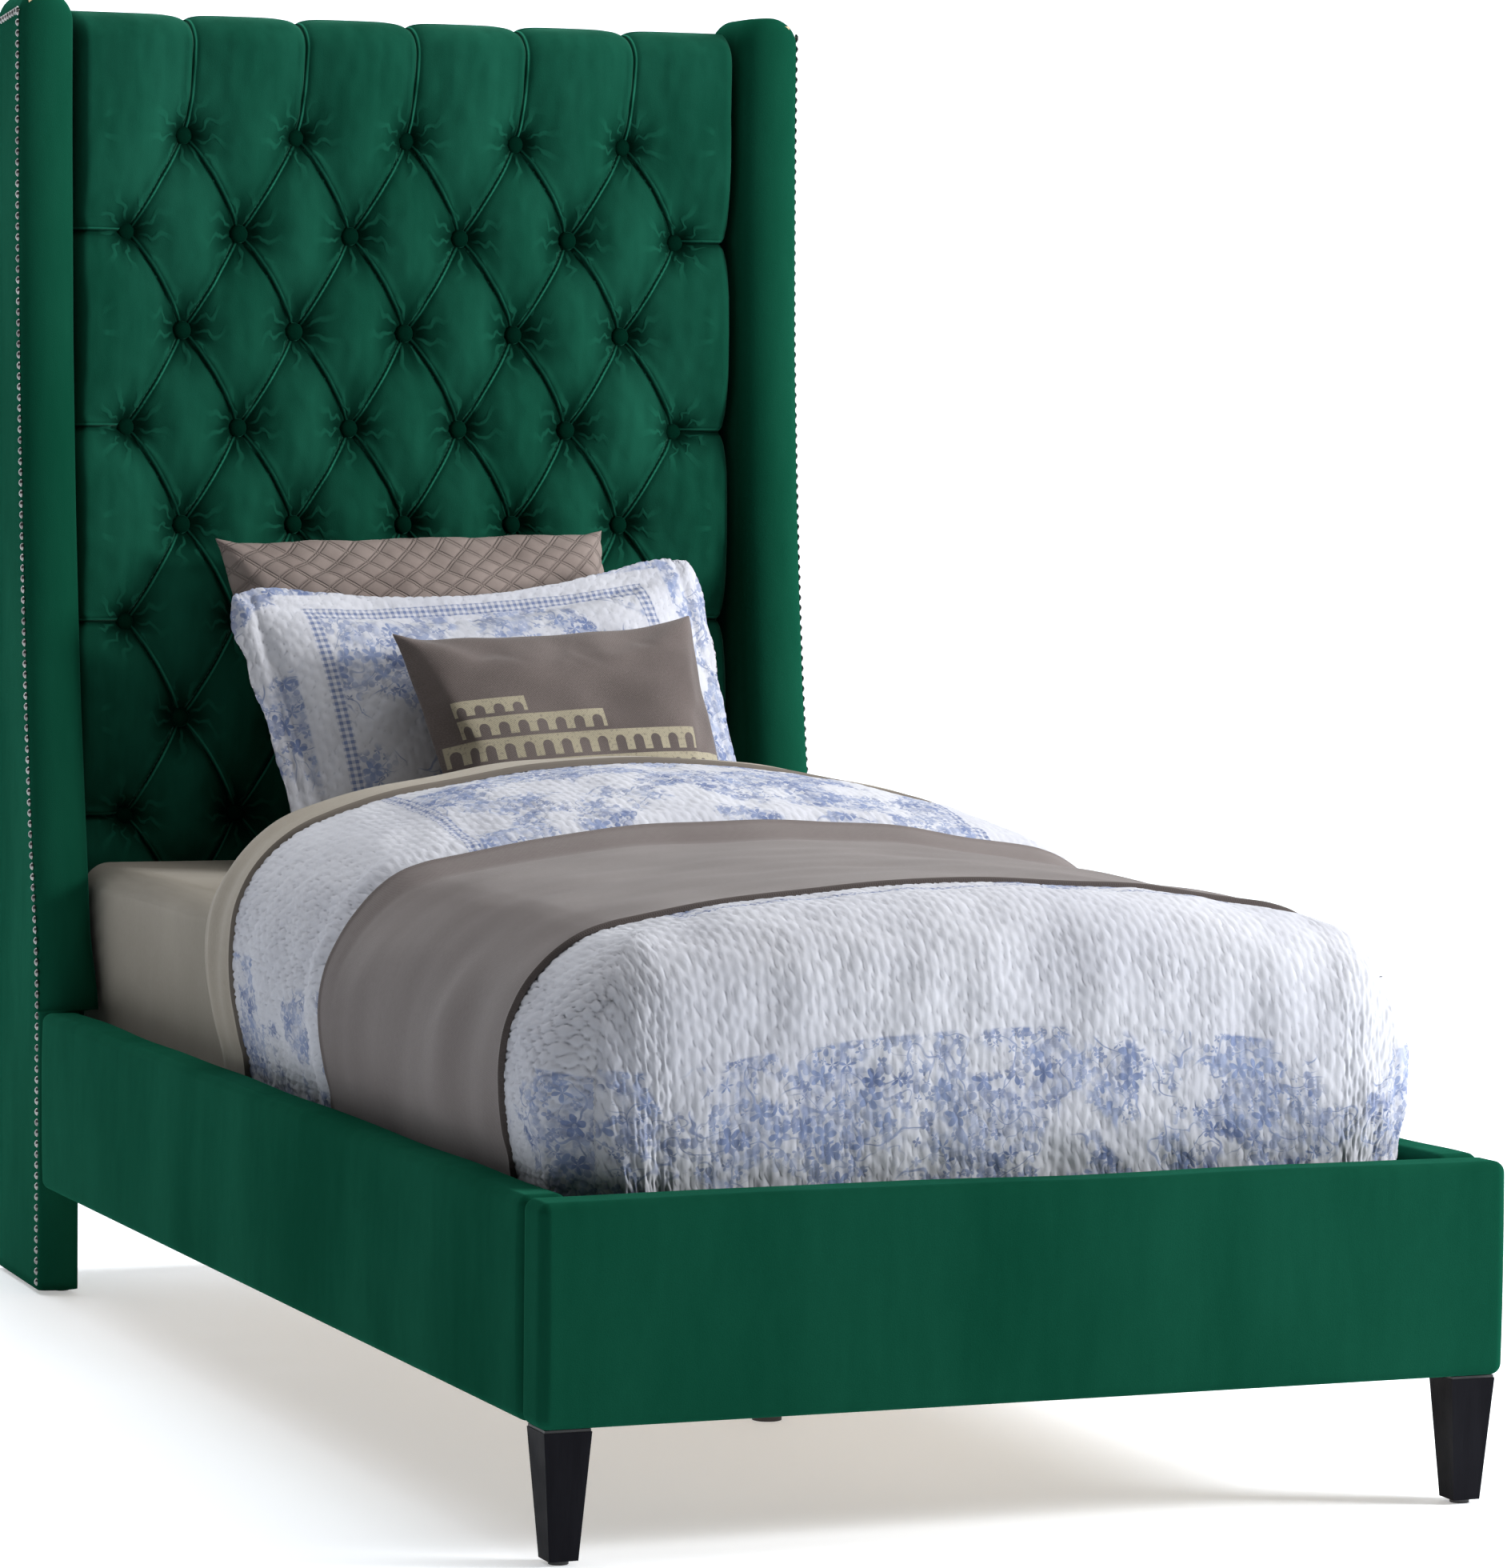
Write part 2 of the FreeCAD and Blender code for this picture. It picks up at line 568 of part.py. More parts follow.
def make_centre_support():
    half = BEAM_WIDTH / 2
    beam_bottom = SLAT_BOTTOM - BEAM_HEIGHT
    ends = (FOOTBOARD_INNER, BOARD_BACK)
    beam_length = (ends[0] + BRACKET_THICKNESS, ends[1] - BRACKET_THICKNESS)
    add("centre_beam", block((-half, half), beam_length, (beam_bottom, SLAT_BOTTOM)))
    add("beam_hangers", beam_hanger(ends[0], 1), beam_hanger(ends[1], -1))
    bore_top = GLIDE_STEM_TOP + GLIDE_TRAVEL + GLIDE_END_CLEARANCE
    leg_bottom = GLIDE_DISC_HEIGHT + GLIDE_TRAVEL + GLIDE_END_CLEARANCE
    leg_half = CENTRE_LEG_WIDTH / 2
    for name, y in zip(("front", "back"), CENTRE_LEG_PLACES):
        leg = block((-leg_half, leg_half), (y - leg_half, y + leg_half), (leg_bottom, beam_bottom))
        bore_radius = GLIDE_STEM_RADIUS + GLIDE_CLEARANCE
        bore = rod(bore_radius, Vector(0, y, leg_bottom - 1), Vector(0, y, bore_top))
        add("centre_leg_" + name, solid_of(leg.cut(bore)))
        disc = Part.makeCylinder(GLIDE_DISC_RADIUS, GLIDE_DISC_HEIGHT, Vector(0, y, 0))
        disc = fillet_where(disc, GLIDE_DISC_EDGE, lambda p: near(p.z, GLIDE_DISC_HEIGHT))
        stem = rod(GLIDE_STEM_RADIUS, Vector(0, y, GLIDE_DISC_HEIGHT - 1), Vector(0, y, GLIDE_STEM_TOP))
        add("centre_glide_" + name, solid_of(disc.fuse(stem).removeSplitter()))


# ---------------------------------------------------------------- mattress and bedding

def mattress_form(grow, bottom):
    """Mattress outline grown by `grow` on its sides and top."""
    half = MATTRESS_HALF + grow
    top = MATTRESS_TOP + grow
    form = block((-half, half), (MATTRESS_FOOT - grow, MATTRESS_HEAD + grow), (bottom, top))
    upright = lambda p: near(abs(p.x), half) and near(p.z, (bottom + top) / 2)
    form = fillet_where(form, MATTRESS_EDGE_RADIUS + grow, upright)
    return fillet_where(form, MATTRESS_EDGE_RADIUS + grow, lambda p: near(p.z, top))


QUILT_HALF = 513.0
QUILT_FOOT = -1055.0
QUILT_HEAD = 240.0
BEDDING_HEAD = 300.0
BEDDING_HEAD_ROUND = 105.0
SHOULDER_X = 400.0
SHOULDER_RISE = 95.0
LOW_CROWN = 692.0
LOW_SHOULDER = 655.0
LOW_RISE = (105.0, 115.0)
HIGH_CROWN = 765.0
HIGH_SHOULDER = 708.0
HIGH_RISE = (330.0, 90.0)
HIGH_FOOT = -290.0
FOLD_EDGE_Y = 110.0
THROW_RANGE = (-860.0, -240.0)
ARC_NEAR = 0.29
ARC_FAR = 1.0 - ARC_NEAR
WIDER_THAN_BED = HALF_WIDTH + 50.0


def cross_dome(grow, crown, shoulder, start_y):
    """Domed cross-section, from one side of the bed to the other, run along it to the head."""
    half = QUILT_HALF + grow
    shoulder_x = SHOULDER_X + grow * 0.5
    side_top = shoulder - SHOULDER_RISE
    bend_x = half - (half - shoulder_x) * ARC_NEAR
    bend = Vector(bend_x, start_y, side_top + (SHOULDER_RISE + grow) * ARC_FAR)
    left_bend = Vector(-bend.x, start_y, bend.z)
    left = [Vector(-half, start_y, HEM_Z), Vector(-half, start_y, side_top)]
    left_shoulder = Vector(-shoulder_x, start_y, shoulder + grow)
    right_shoulder = Vector(shoulder_x, start_y, shoulder + grow)
    right = [Vector(half, start_y, side_top), Vector(half, start_y, HEM_Z)]
    edges = [
        Part.LineSegment(left[0], left[1]).toShape(),
        Part.Arc(left[1], left_bend, left_shoulder).toShape(),
        Part.Arc(left_shoulder, Vector(0, start_y, crown + grow), right_shoulder).toShape(),
        Part.Arc(right_shoulder, bend, right[0]).toShape(),
        Part.LineSegment(right[0], right[1]).toShape(),
        Part.LineSegment(right[1], left[0]).toShape(),
    ]
    return Part.Face(Part.Wire(edges)).extrude(Vector(0, BEDDING_HEAD + grow - start_y, 0))


def long_profile(grow, crown, foot_y, rise):
    """Side outline along the bed: a rise of (length, height) at the foot and a rounded head end."""
    rise_length, rise_height = rise
    head = BEDDING_HEAD + grow
    top = crown + grow
    head_round = BEDDING_HEAD_ROUND
    foot = foot_y - grow
    side_z = crown - rise_height
    foot_bend = Vector(0, foot + rise_length * ARC_NEAR, side_z + (top - side_z) * ARC_FAR)
    head_bend = Vector(0, head - head_round * ARC_NEAR, top - head_round * ARC_NEAR)
    points = [
        Vector(0, foot, HEM_Z),
        Vector(0, foot, side_z),
        Vector(0, foot + rise_length, top),
        Vector(0, head - head_round, top),
        Vector(0, head, top - head_round),
        Vector(0, head, HEM_Z),
    ]
    edges = [
        Part.LineSegment(points[0], points[1]).toShape(),
        Part.Arc(points[1], foot_bend, points[2]).toShape(),
        Part.LineSegment(points[2], points[3]).toShape(),
        Part.Arc(points[3], head_bend, points[4]).toShape(),
        Part.LineSegment(points[4], points[5]).toShape(),
        Part.LineSegment(points[5], points[0]).toShape(),
    ]
    face = Part.Face(Part.Wire(edges))
    face.translate(Vector(-WIDER_THAN_BED, 0, 0))
    return face.extrude(Vector(2 * WIDER_THAN_BED, 0, 0))


def bedding_form(grow):
    """Space under one layer of bedding: a long low dome with a higher one at the head end."""
    low = cross_dome(grow, LOW_CROWN, LOW_SHOULDER, QUILT_FOOT - grow)
    low = low.common(long_profile(grow, LOW_CROWN, QUILT_FOOT, LOW_RISE))
    high = cross_dome(grow, HIGH_CROWN, HIGH_SHOULDER, HIGH_FOOT - grow)
    high = high.common(long_profile(grow, HIGH_CROWN, HIGH_FOOT, HIGH_RISE))
    return low.fuse(high)


def layer(outer_grow, inner_grow, y_range):
    """Shell between two bedding forms, kept between two places along the bed."""
    keep = block((-WIDER_THAN_BED, WIDER_THAN_BED), y_range, (HEM_Z, BED_HEIGHT))
    outer = bedding_form(outer_grow).common(keep)
    return solid_of(outer.cut(bedding_form(inner_grow)))


def make_mattress():
    add("mattress", mattress_form(0.0, SLAT_TOP))
    fitted = mattress_form(FITTED_SHEET_THICKNESS, HEM_Z).cut(mattress_form(0.0, SLAT_TOP))
    add("fitted_sheet", solid_of(fitted))


def make_flat_sheet():
    """Flat sheet over the fitted sheet, turned back over the quilt at the head end."""
    under = FITTED_SHEET_THICKNESS + LAYER_GAP
    whole_width = (-WIDER_THAN_BED, WIDER_THAN_BED)
    before_fold = block(whole_width, (FOOT_FACE, BEDDING_HEAD + LAYER_GAP), (HEM_Z, BED_HEIGHT))
    hidden = mattress_form(under + SHEET_THICKNESS, HEM_Z).common(before_fold)
    band = layer(LAYER_GAP + SHEET_THICKNESS, LAYER_GAP, (FOLD_EDGE_Y, HEAD_FACE))
    sheet = band.fuse(hidden).cut(mattress_form(under, SLAT_TOP)).removeSplitter()
    add("flat_sheet", solid_of(sheet))


def make_bedding():
    inside_quilt = -QUILT_THICKNESS - LAYER_GAP
    above_sheets = MATTRESS_TOP + FITTED_SHEET_THICKNESS + SHEET_THICKNESS + 3 * LAYER_GAP
    whole_width = (-WIDER_THAN_BED, WIDER_THAN_BED)
    upper = block(whole_width, (FOOT_FACE, HEAD_FACE), (above_sheets, BED_HEIGHT))
    add("comforter", solid_of(bedding_form(inside_quilt).common(upper)))
    add("quilt", layer(0.0, -QUILT_THICKNESS, (QUILT_FOOT - 1, QUILT_HEAD)))
    add("throw", layer(LAYER_GAP + THROW_THICKNESS, LAYER_GAP, THROW_RANGE))
    make_flat_sheet()


def lens_face(length, thickness, rim, make_point):
    """Outline that is `thickness` deep in the middle and `rim` deep at both ends."""
    half, deep, thin = length / 2, thickness / 2, rim / 2
    front = Part.Arc(make_point(-half, -thin), make_point(0, -deep), make_point(half, -thin))
    back = Part.Arc(make_point(half, thin), make_point(0, deep), make_point(-half, thin))
    ends = [
        Part.LineSegment(make_point(half, -thin), make_point(half, thin)),
        Part.LineSegment(make_point(-half, thin), make_point(-half, -thin)),
    ]
    return Part.Face(Part.Wire([front.toShape(), ends[0].toShape(), back.toShape(), ends[1].toShape()]))


BACK_PILLOW = {"size": (575.0, 440.0, 150.0), "rim": 12.0, "lean": 7.0, "turn": 1.5}
SHAM_PILLOW = {"size": (690.0, 395.0, 150.0), "rim": 10.0, "lean": 15.0, "turn": 4.0}
FRONT_PILLOW = {"size": (445.0, 330.0, 105.0), "rim": 10.0, "lean": 18.0, "turn": 3.0}
BACK_PILLOW_CENTRE = Vector(-12, 918, 811)
SHAM_PILLOW_CENTRE = Vector(30, 758, 800)
FRONT_PILLOW_CENTRE = Vector(90, 606, 756)


def pillow(centre, size, rim, lean, turn):
    """Pillow standing on its lower edge: leaned back by `lean`, turned in its plane by `turn`."""
    width, height, thickness = size
    upright = lens_face(height, thickness, rim, lambda a, b: Vector(-width / 2, b, a))
    level = lens_face(width, thickness, rim, lambda a, b: Vector(a, b, -height / 2))
    shape = upright.extrude(Vector(width, 0, 0)).common(level.extrude(Vector(0, 0, height)))
    shape = solid_of(shape)
    shape.rotate(Vector(0, 0, 0), Vector(0, 1, 0), -turn)
    shape.rotate(Vector(0, 0, 0), Vector(1, 0, 0), -lean)
    shape.translate(centre)
    return shape


def make_pillows():
    add("pillow_back", pillow(BACK_PILLOW_CENTRE, **BACK_PILLOW))
    add("pillow_sham", pillow(SHAM_PILLOW_CENTRE, **SHAM_PILLOW))
    add("pillow_front", pillow(FRONT_PILLOW_CENTRE, **FRONT_PILLOW))


# ---------------------------------------------------------------- everything

make_wings()
make_tufting()
make_headboard_frame()
make_rails()
make_front_legs()
make_slats()
make_centre_support()
make_mattress()
make_bedding()
make_pillows()

os.makedirs("parts", exist_ok=True)
for name, shape in nodes.items():
    if not shape.isValid():
        print("not valid:", name)
    shape.exportStep("parts/" + name + ".step")
print(len(nodes), "nodes")
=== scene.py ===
import math

import bpy
import numpy as np
from mathutils import Matrix


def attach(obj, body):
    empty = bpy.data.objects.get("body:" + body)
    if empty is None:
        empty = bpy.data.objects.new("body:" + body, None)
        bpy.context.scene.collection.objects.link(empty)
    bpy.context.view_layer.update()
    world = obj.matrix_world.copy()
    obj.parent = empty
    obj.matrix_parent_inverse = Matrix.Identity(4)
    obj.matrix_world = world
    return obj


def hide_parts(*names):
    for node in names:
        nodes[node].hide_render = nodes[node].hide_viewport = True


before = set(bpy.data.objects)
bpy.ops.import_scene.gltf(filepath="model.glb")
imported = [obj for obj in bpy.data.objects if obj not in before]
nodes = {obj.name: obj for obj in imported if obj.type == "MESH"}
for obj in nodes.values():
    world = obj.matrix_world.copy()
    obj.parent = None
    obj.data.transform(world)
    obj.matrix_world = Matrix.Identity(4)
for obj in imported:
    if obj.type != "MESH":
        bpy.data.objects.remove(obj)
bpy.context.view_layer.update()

scene = bpy.context.scene
TAU = 2 * math.pi


# ---------------------------------------------------------------- meshes


def make_mesh(name, points, faces, cloth=None):
    """Mesh object from points and quads; `cloth` is a place on the flat cloth for each point."""
    data = bpy.data.meshes.new(name)
    data.vertices.add(len(points))
    data.vertices.foreach_set("co", np.asarray(points, np.float32).ravel())
    sides = faces.shape[1]
    data.loops.add(faces.size)
    data.loops.foreach_set("vertex_index", faces.astype(np.int32).ravel())
    data.polygons.add(len(faces))
    data.polygons.foreach_set("loop_start", np.arange(0, faces.size, sides, dtype=np.int32))
    data.polygons.foreach_set("use_smooth", np.full(len(faces), True))
    data.update(calc_edges=True)
    made = bpy.data.objects.new(name, data)
    scene.collection.objects.link(made)
    if cloth is not None:
        write_cloth(made, cloth)
    return made


def read_rows(values, field):
    """One row of three numbers for each entry of a mesh's collection."""
    rows = np.empty(len(values) * 3, np.float32)
    values.foreach_get(field, rows)
    return rows.reshape(-1, 3).astype(float)


def read_points(made):
    return read_rows(made.data.vertices, "co")


def read_normals(made):
    return read_rows(made.data.vertices, "normal")


def read_cloth(made):
    return read_rows(made.data.attributes["cloth"].data, "vector")


def write_cloth(made, cloth):
    """Writes the places on the flat cloth, over any that the mesh already has."""
    layers = made.data.attributes
    layer = layers.get("cloth") or layers.new("cloth", "FLOAT_VECTOR", "POINT")
    layer.data.foreach_set("vector", np.asarray(cloth, np.float32).ravel())


def write_points(made, points):
    made.data.vertices.foreach_set("co", np.asarray(points, np.float32).ravel())
    made.data.update()


def subdivide(made):
    made.modifiers.new("Subdivision", "SUBSURF").levels = 1
    graph = bpy.context.evaluated_depsgraph_get()
    seen = made.evaluated_get(graph)
    data = bpy.data.meshes.new_from_object(seen, preserve_all_data_layers=True, depsgraph=graph)
    made.modifiers.clear()
    made.data = data


def quads_of(index):
    """Quads between neighbours in a table of point numbers."""
    corners = [index[:-1, :-1], index[1:, :-1], index[1:, 1:], index[:-1, 1:]]
    return np.stack(corners, -1).reshape(-1, 4)


def grid_faces(rows, columns, closed=False, flip=False):
    """Quads of a grid of points; `closed` joins its last column to its first."""
    index = np.arange(rows * columns).reshape(rows, columns)
    if closed:
        index = np.concatenate([index, index[:, :1]], axis=1)
    return quads_of(index)[:, ::-1] if flip else quads_of(index)


def rim_of(rows, columns):
    """Point numbers round the rim of a grid."""
    grid = np.arange(rows * columns).reshape(rows, columns)
    return np.concatenate([grid[0, :-1], grid[:-1, -1], grid[-1, :0:-1], grid[:0:-1, 0]])


def close_loops(made, loops):
    """Adds one face over each loop of point numbers."""
    points = [tuple(v.co) for v in made.data.vertices]
    faces = [tuple(p.vertices) for p in made.data.polygons]
    data = bpy.data.meshes.new(made.name)
    data.from_pydata(points, [], faces + [tuple(int(i) for i in loop) for loop in loops])
    data.polygons.foreach_set("use_smooth", np.full(len(data.polygons), True))
    made.data = data


def box_shell(xs, ys, zs):
    """Points and quads of a box's surface, cut at these places along its three axes."""
    counts = (len(xs), len(ys), len(zs))
    i, j, k = np.meshgrid(*(np.arange(n) for n in counts), indexing="ij")
    outside = (i == 0) | (i == counts[0] - 1) | (j == 0) | (j == counts[1] - 1)
    outside |= (k == 0) | (k == counts[2] - 1)
    index = np.full(counts, -1)
    index[outside] = np.arange(outside.sum())
    points = np.stack([xs[i[outside]], ys[j[outside]], zs[k[outside]]], 1)
    faces = []
    for axis in range(3):
        for end in (0, counts[axis] - 1):
            quads = quads_of(np.take(index, end, axis))
            faces.append(quads[:, ::-1] if (end == 0) != (axis == 1) else quads)
    return points, np.concatenate(faces)


def cuts(low, high, step, radius):
    """Places from low to high, closer together within `radius` of both ends."""
    near = np.linspace(0, radius, 6)
    middle = np.linspace(low + radius, high - radius, max(2, round((high - low) / step)))
    return np.unique(np.round(np.concatenate([low + near, middle, high - near]), 6))


def rounded(points, low, high, radius):
    """Points on a box's surface moved to its rounded edges and corners."""
    low, high, radius = (np.array(v, float) for v in (low, high, radius))
    inner = np.clip(points, low + radius, high - radius)
    away = (points - inner) / radius
    length = np.maximum(np.linalg.norm(away, axis=1, keepdims=True), 1e-9)
    return inner + radius * away / length


def smooth(value, low=0.0, high=1.0):
    t = np.clip((value - low) / (high - low), 0, 1)
    return t * t * (3 - 2 * t)


def waves(points, length, seed, count=9):
    """Smooth random values of about one, varying over `length` metres."""
    chance = np.random.default_rng(seed)
    ways = chance.normal(size=(count, points.shape[1]))
    sizes = np.linalg.norm(ways, axis=1, keepdims=True)
    ways *= (TAU / length) * chance.uniform(0.6, 1.5, (count, 1)) / sizes
    return np.sin(points @ ways.T + chance.uniform(0, TAU, count)).sum(1) / math.sqrt(count)


# ---------------------------------------------------------------- materials


class Graph:
    """A material, with short ways to add its nodes."""

    def __init__(self, name):
        self.material = bpy.data.materials.new(name)
        self.material.use_nodes = True
        self.tree = self.material.node_tree
        self.tree.nodes.clear()
        self.shader = self.tree.nodes.new("ShaderNodeBsdfPrincipled")
        out = self.tree.nodes.new("ShaderNodeOutputMaterial")
        self.tree.links.new(self.shader.outputs[0], out.inputs["Surface"])

    def put(self, socket, value):
        if isinstance(value, bpy.types.NodeSocket):
            self.tree.links.new(value, socket)
        elif isinstance(value, tuple) and len(value) == 3 and socket.type == "RGBA":
            socket.default_value = (*value, 1)
        else:
            socket.default_value = value

    def set(self, **values):
        """Sets the shader's sockets; an underscore stands for a space."""
        for name, value in values.items():
            self.put(self.shader.inputs[name.replace("_", " ")], value)

    def node(self, kind, inputs, **settings):
        made = self.tree.nodes.new("ShaderNode" + kind)
        for name, value in settings.items():
            setattr(made, name, value)
        for name, value in inputs.items():
            self.put(made.inputs[name], value)
        return made

    def math(self, operation, a, b=0.0, c=0.0):
        return self.node("Math", {0: a, 1: b, 2: c}, operation=operation).outputs[0]

    def add(self, a, b):
        return self.math("ADD", a, b)

    def sub(self, a, b):
        return self.math("SUBTRACT", a, b)

    def mul(self, a, b):
        return self.math("MULTIPLY", a, b)

    def most(self, a, b):
        return self.math("MAXIMUM", a, b)

    def absolute(self, a):
        return self.math("ABSOLUTE", a)

    def step(self, value, low, high, start=0.0, end=1.0):
        """`start` up to low, `end` from high, and a smooth change between them."""
        inputs = {"Value": value, "From Min": low, "From Max": high, "To Min": start, "To Max": end}
        return self.node("MapRange", inputs, interpolation_type="SMOOTHSTEP").outputs[0]

    def mix(self, factor, a, b):
        return self.node("Mix", {0: factor, 6: a, 7: b}, data_type="RGBA").outputs[2]

    def place(self):
        return self.node("TexCoord", {}).outputs["Object"]

    def cloth(self):
        return self.node("Attribute", {}, attribute_name="cloth").outputs["Vector"]

    def split(self, vector):
        return self.node("SeparateXYZ", {0: vector}).outputs

    def times(self, vector, scale):
        return self.node("VectorMath", {0: vector, 1: scale}, operation="MULTIPLY").outputs[0]

    def plus(self, vector, other):
        return self.node("VectorMath", {0: vector, 1: other}, operation="ADD").outputs[0]

    def noise(self, vector, scale, detail=3.0, roughness=0.5):
        inputs = {"Vector": vector, "Scale": scale, "Detail": detail, "Roughness": roughness}
        return self.node("TexNoise", inputs).outputs["Fac"]

    def drift(self, vector, scale, size):
        """The vector moved about by a smooth noise of that size."""
        moved = self.node("TexNoise", {"Vector": vector, "Scale": scale, "Detail": 2.0}).outputs["Color"]
        centred = self.node("VectorMath", {0: moved, 1: (0.5, 0.5, 0.5)}, operation="SUBTRACT").outputs[0]
        return self.plus(vector, self.times(centred, (size, size, size)))

    def bump(self, height, distance, strength=1.0, normal=None):
        inputs = {"Height": height, "Distance": distance, "Strength": strength}
        if normal is not None:
            inputs["Normal"] = normal
        return self.node("Bump", inputs).outputs[0]


def weave(g, vector, threads):
    """Height of a plain weave with that many threads to the metre."""
    x, y, _ = g.split(g.times(vector, (threads, threads, threads)))
    over = g.math("SINE", g.mul(x, math.pi))
    under = g.math("SINE", g.mul(y, math.pi))
    return g.mul(over, under)


def velvet(name, dark, light, sheen, pile=0.0006, stretch=(1.0, 1.0, 0.35), patch=5.0, folds=None):
    """Velvet: soft sheen, brushed patches lying either way, short pile.

    `folds` gives how much painted shade a place gets for lying deep in a fold or hollow, how much painted
    highlight it gets as a turned edge, and its height.
    """
    g = Graph(name)
    place = g.place()
    brushed = g.noise(g.times(place, stretch), patch, 5.0, 0.6)
    streaks = g.noise(g.times(place, (60.0, 60.0, 9.0)), 1.0, 3.0)
    grain = g.noise(place, 900.0, 2.0)
    lie = g.add(g.mul(brushed, 0.72), g.add(g.mul(streaks, 0.16), g.mul(grain, 0.12)))
    colour = g.mix(g.step(lie, 0.25, 0.75), dark, light)
    if folds is not None:
        deep, turned, height = folds(g, g.cloth())
        # Painted shade: places deep in folds and hollows are mixed towards a far darker green.
        colour = g.mix(deep, colour, tuple(0.16 * c for c in dark))
        # Painted highlight: turned edges are mixed towards a far lighter green.
        colour = g.mix(turned, colour, tuple(2.8 * c for c in light))
    g.set(
        Base_Color=colour,
        Roughness=g.step(lie, 0.3, 0.7, 0.66, 0.5),
        Sheen_Weight=g.step(brushed, 0.25, 0.75, 0.10, 0.22),
        Sheen_Roughness=0.3,
        Sheen_Tint=sheen,
        Specular_IOR_Level=0.0,
    )
    soft = g.bump(g.noise(place, 26.0, 3.0), 0.0016, 0.35)
    if folds is not None:
        soft = g.bump(height, 0.0022, 0.7, soft)
    g.set(Normal=g.bump(g.noise(place, 620.0, 3.0, 0.6), pile, 0.5, soft))
    return g.material


def plain_cloth(name, dark, light, threads=900.0, crease=0.0012, sheen=0.25, edge=None):
    """Woven cloth with fine threads, faint slubs and soft creases; `edge` draws darker piping."""
    g = Graph(name)
    cloth = g.cloth()
    tone = g.noise(cloth, 4.0, 4.0)
    slubs = g.noise(g.times(cloth, (160.0, 420.0, 1.0)), 1.0, 3.0)
    fine = g.noise(cloth, 1400.0, 2.0)
    shade = g.add(g.mul(tone, 0.6), g.add(g.mul(slubs, 0.25), g.mul(fine, 0.15)))
    colour = g.mix(g.step(shade, 0.35, 0.66), dark, light)
    if edge is not None:
        colour = g.mix(g.step(g.split(cloth)[2], 0.4, 0.6), colour, edge)
    g.set(
        Base_Color=colour,
        Roughness=g.step(shade, 0.3, 0.7, 0.92, 0.8),
        Sheen_Weight=sheen,
        Sheen_Roughness=0.4,
        Specular_IOR_Level=0.02,
    )
    folds = g.bump(g.noise(g.times(cloth, (9.0, 26.0, 1.0)), 1.0, 3.0), crease, 0.6)
    g.set(Normal=g.bump(weave(g, cloth, threads), 0.0003, 0.5, folds))
    return g.material


def flowers(g, vector, scale, petals=5.0, size=0.42):
    """One where a spray of small flowers is printed, softly shaded inside."""
    cell = g.node("TexVoronoi", {"Vector": vector, "Scale": scale, "Randomness": 0.85})
    local = g.times(vector, (scale, scale, 0.0))
    centre = g.times(cell.outputs["Position"], (scale, scale, 0.0))
    away = g.node("VectorMath", {0: local, 1: centre}, operation="SUBTRACT").outputs[0]
    x, y, _ = g.split(away)
    turn = g.mul(g.split(cell.outputs["Color"])[0], TAU)
    angle = g.add(g.math("ARCTAN2", y, x), turn)
    lobes = g.absolute(g.math("COSINE", g.mul(angle, petals / 2)))
    reach = g.add(g.mul(lobes, size * 0.62), size * 0.38)
    inside = g.step(g.sub(reach, cell.outputs["Distance"]), 0.0, 0.07)
    eye = g.step(cell.outputs["Distance"], size * 0.16, size * 0.26)
    return g.mul(inside, g.add(g.mul(eye, 0.65), 0.35)), cell.outputs["Color"]


def toile_ink(g, vector):
    """How much blue ink the toile's clusters of flowers, leaves and stems leave at a place."""
    wander = g.drift(vector, 14.0, 0.05)
    big, chance = flowers(g, g.drift(vector, 60.0, 0.006), 31.0, 5.0, 0.50)
    small, _ = flowers(g, g.drift(g.plus(vector, (3.3, 1.7, 0.0)), 80.0, 0.005), 62.0, 4.0, 0.46)
    leaves, _ = flowers(g, g.plus(vector, (7.1, 4.2, 0.0)), 46.0, 2.0, 0.52)
    cluster = g.noise(wander, 8.5, 2.0)
    dense = g.step(cluster, 0.475, 0.53)
    middle = g.step(cluster, 0.45, 0.50)
    stems = g.absolute(g.sub(g.noise(wander, 16.0, 1.0), 0.5))
    stem = g.mul(g.step(stems, 0.014, 0.004), g.step(cluster, 0.43, 0.48))
    twigs = g.absolute(g.sub(g.noise(g.plus(wander, (5.0, 5.0, 0.0)), 30.0, 1.0), 0.5))
    twig = g.mul(g.step(twigs, 0.02, 0.006), g.step(cluster, 0.45, 0.5))
    ink = g.most(g.mul(big, dense), g.mul(small, g.mul(middle, 0.85)))
    ink = g.most(ink, g.mul(leaves, g.mul(middle, 0.7)))
    ink = g.most(ink, g.mul(g.most(stem, g.mul(twig, 0.8)), 0.8))
    wash = g.step(g.noise(vector, 70.0, 3.0), 0.40, 0.62, 0.1, 0.55)
    ink = g.most(ink, g.mul(g.step(cluster, 0.50, 0.54), wash))
    return ink, chance


def gingham(g, vector, size=0.0045):
    """Checks of two crossing stripes."""
    x, y, _ = g.split(g.times(vector, (0.5 / size, 0.5 / size, 1.0)))
    across = g.step(g.math("FRACT", x), 0.46, 0.54)
    along = g.step(g.math("FRACT", y), 0.46, 0.54)
    return g.add(g.mul(across, 0.5), g.mul(along, 0.5))


WHITE = (0.54, 0.55, 0.595)
WHITE_LOW = (0.475, 0.485, 0.535)
INK_PALE = (0.195, 0.25, 0.41)
INK_DEEP = (0.080, 0.122, 0.265)


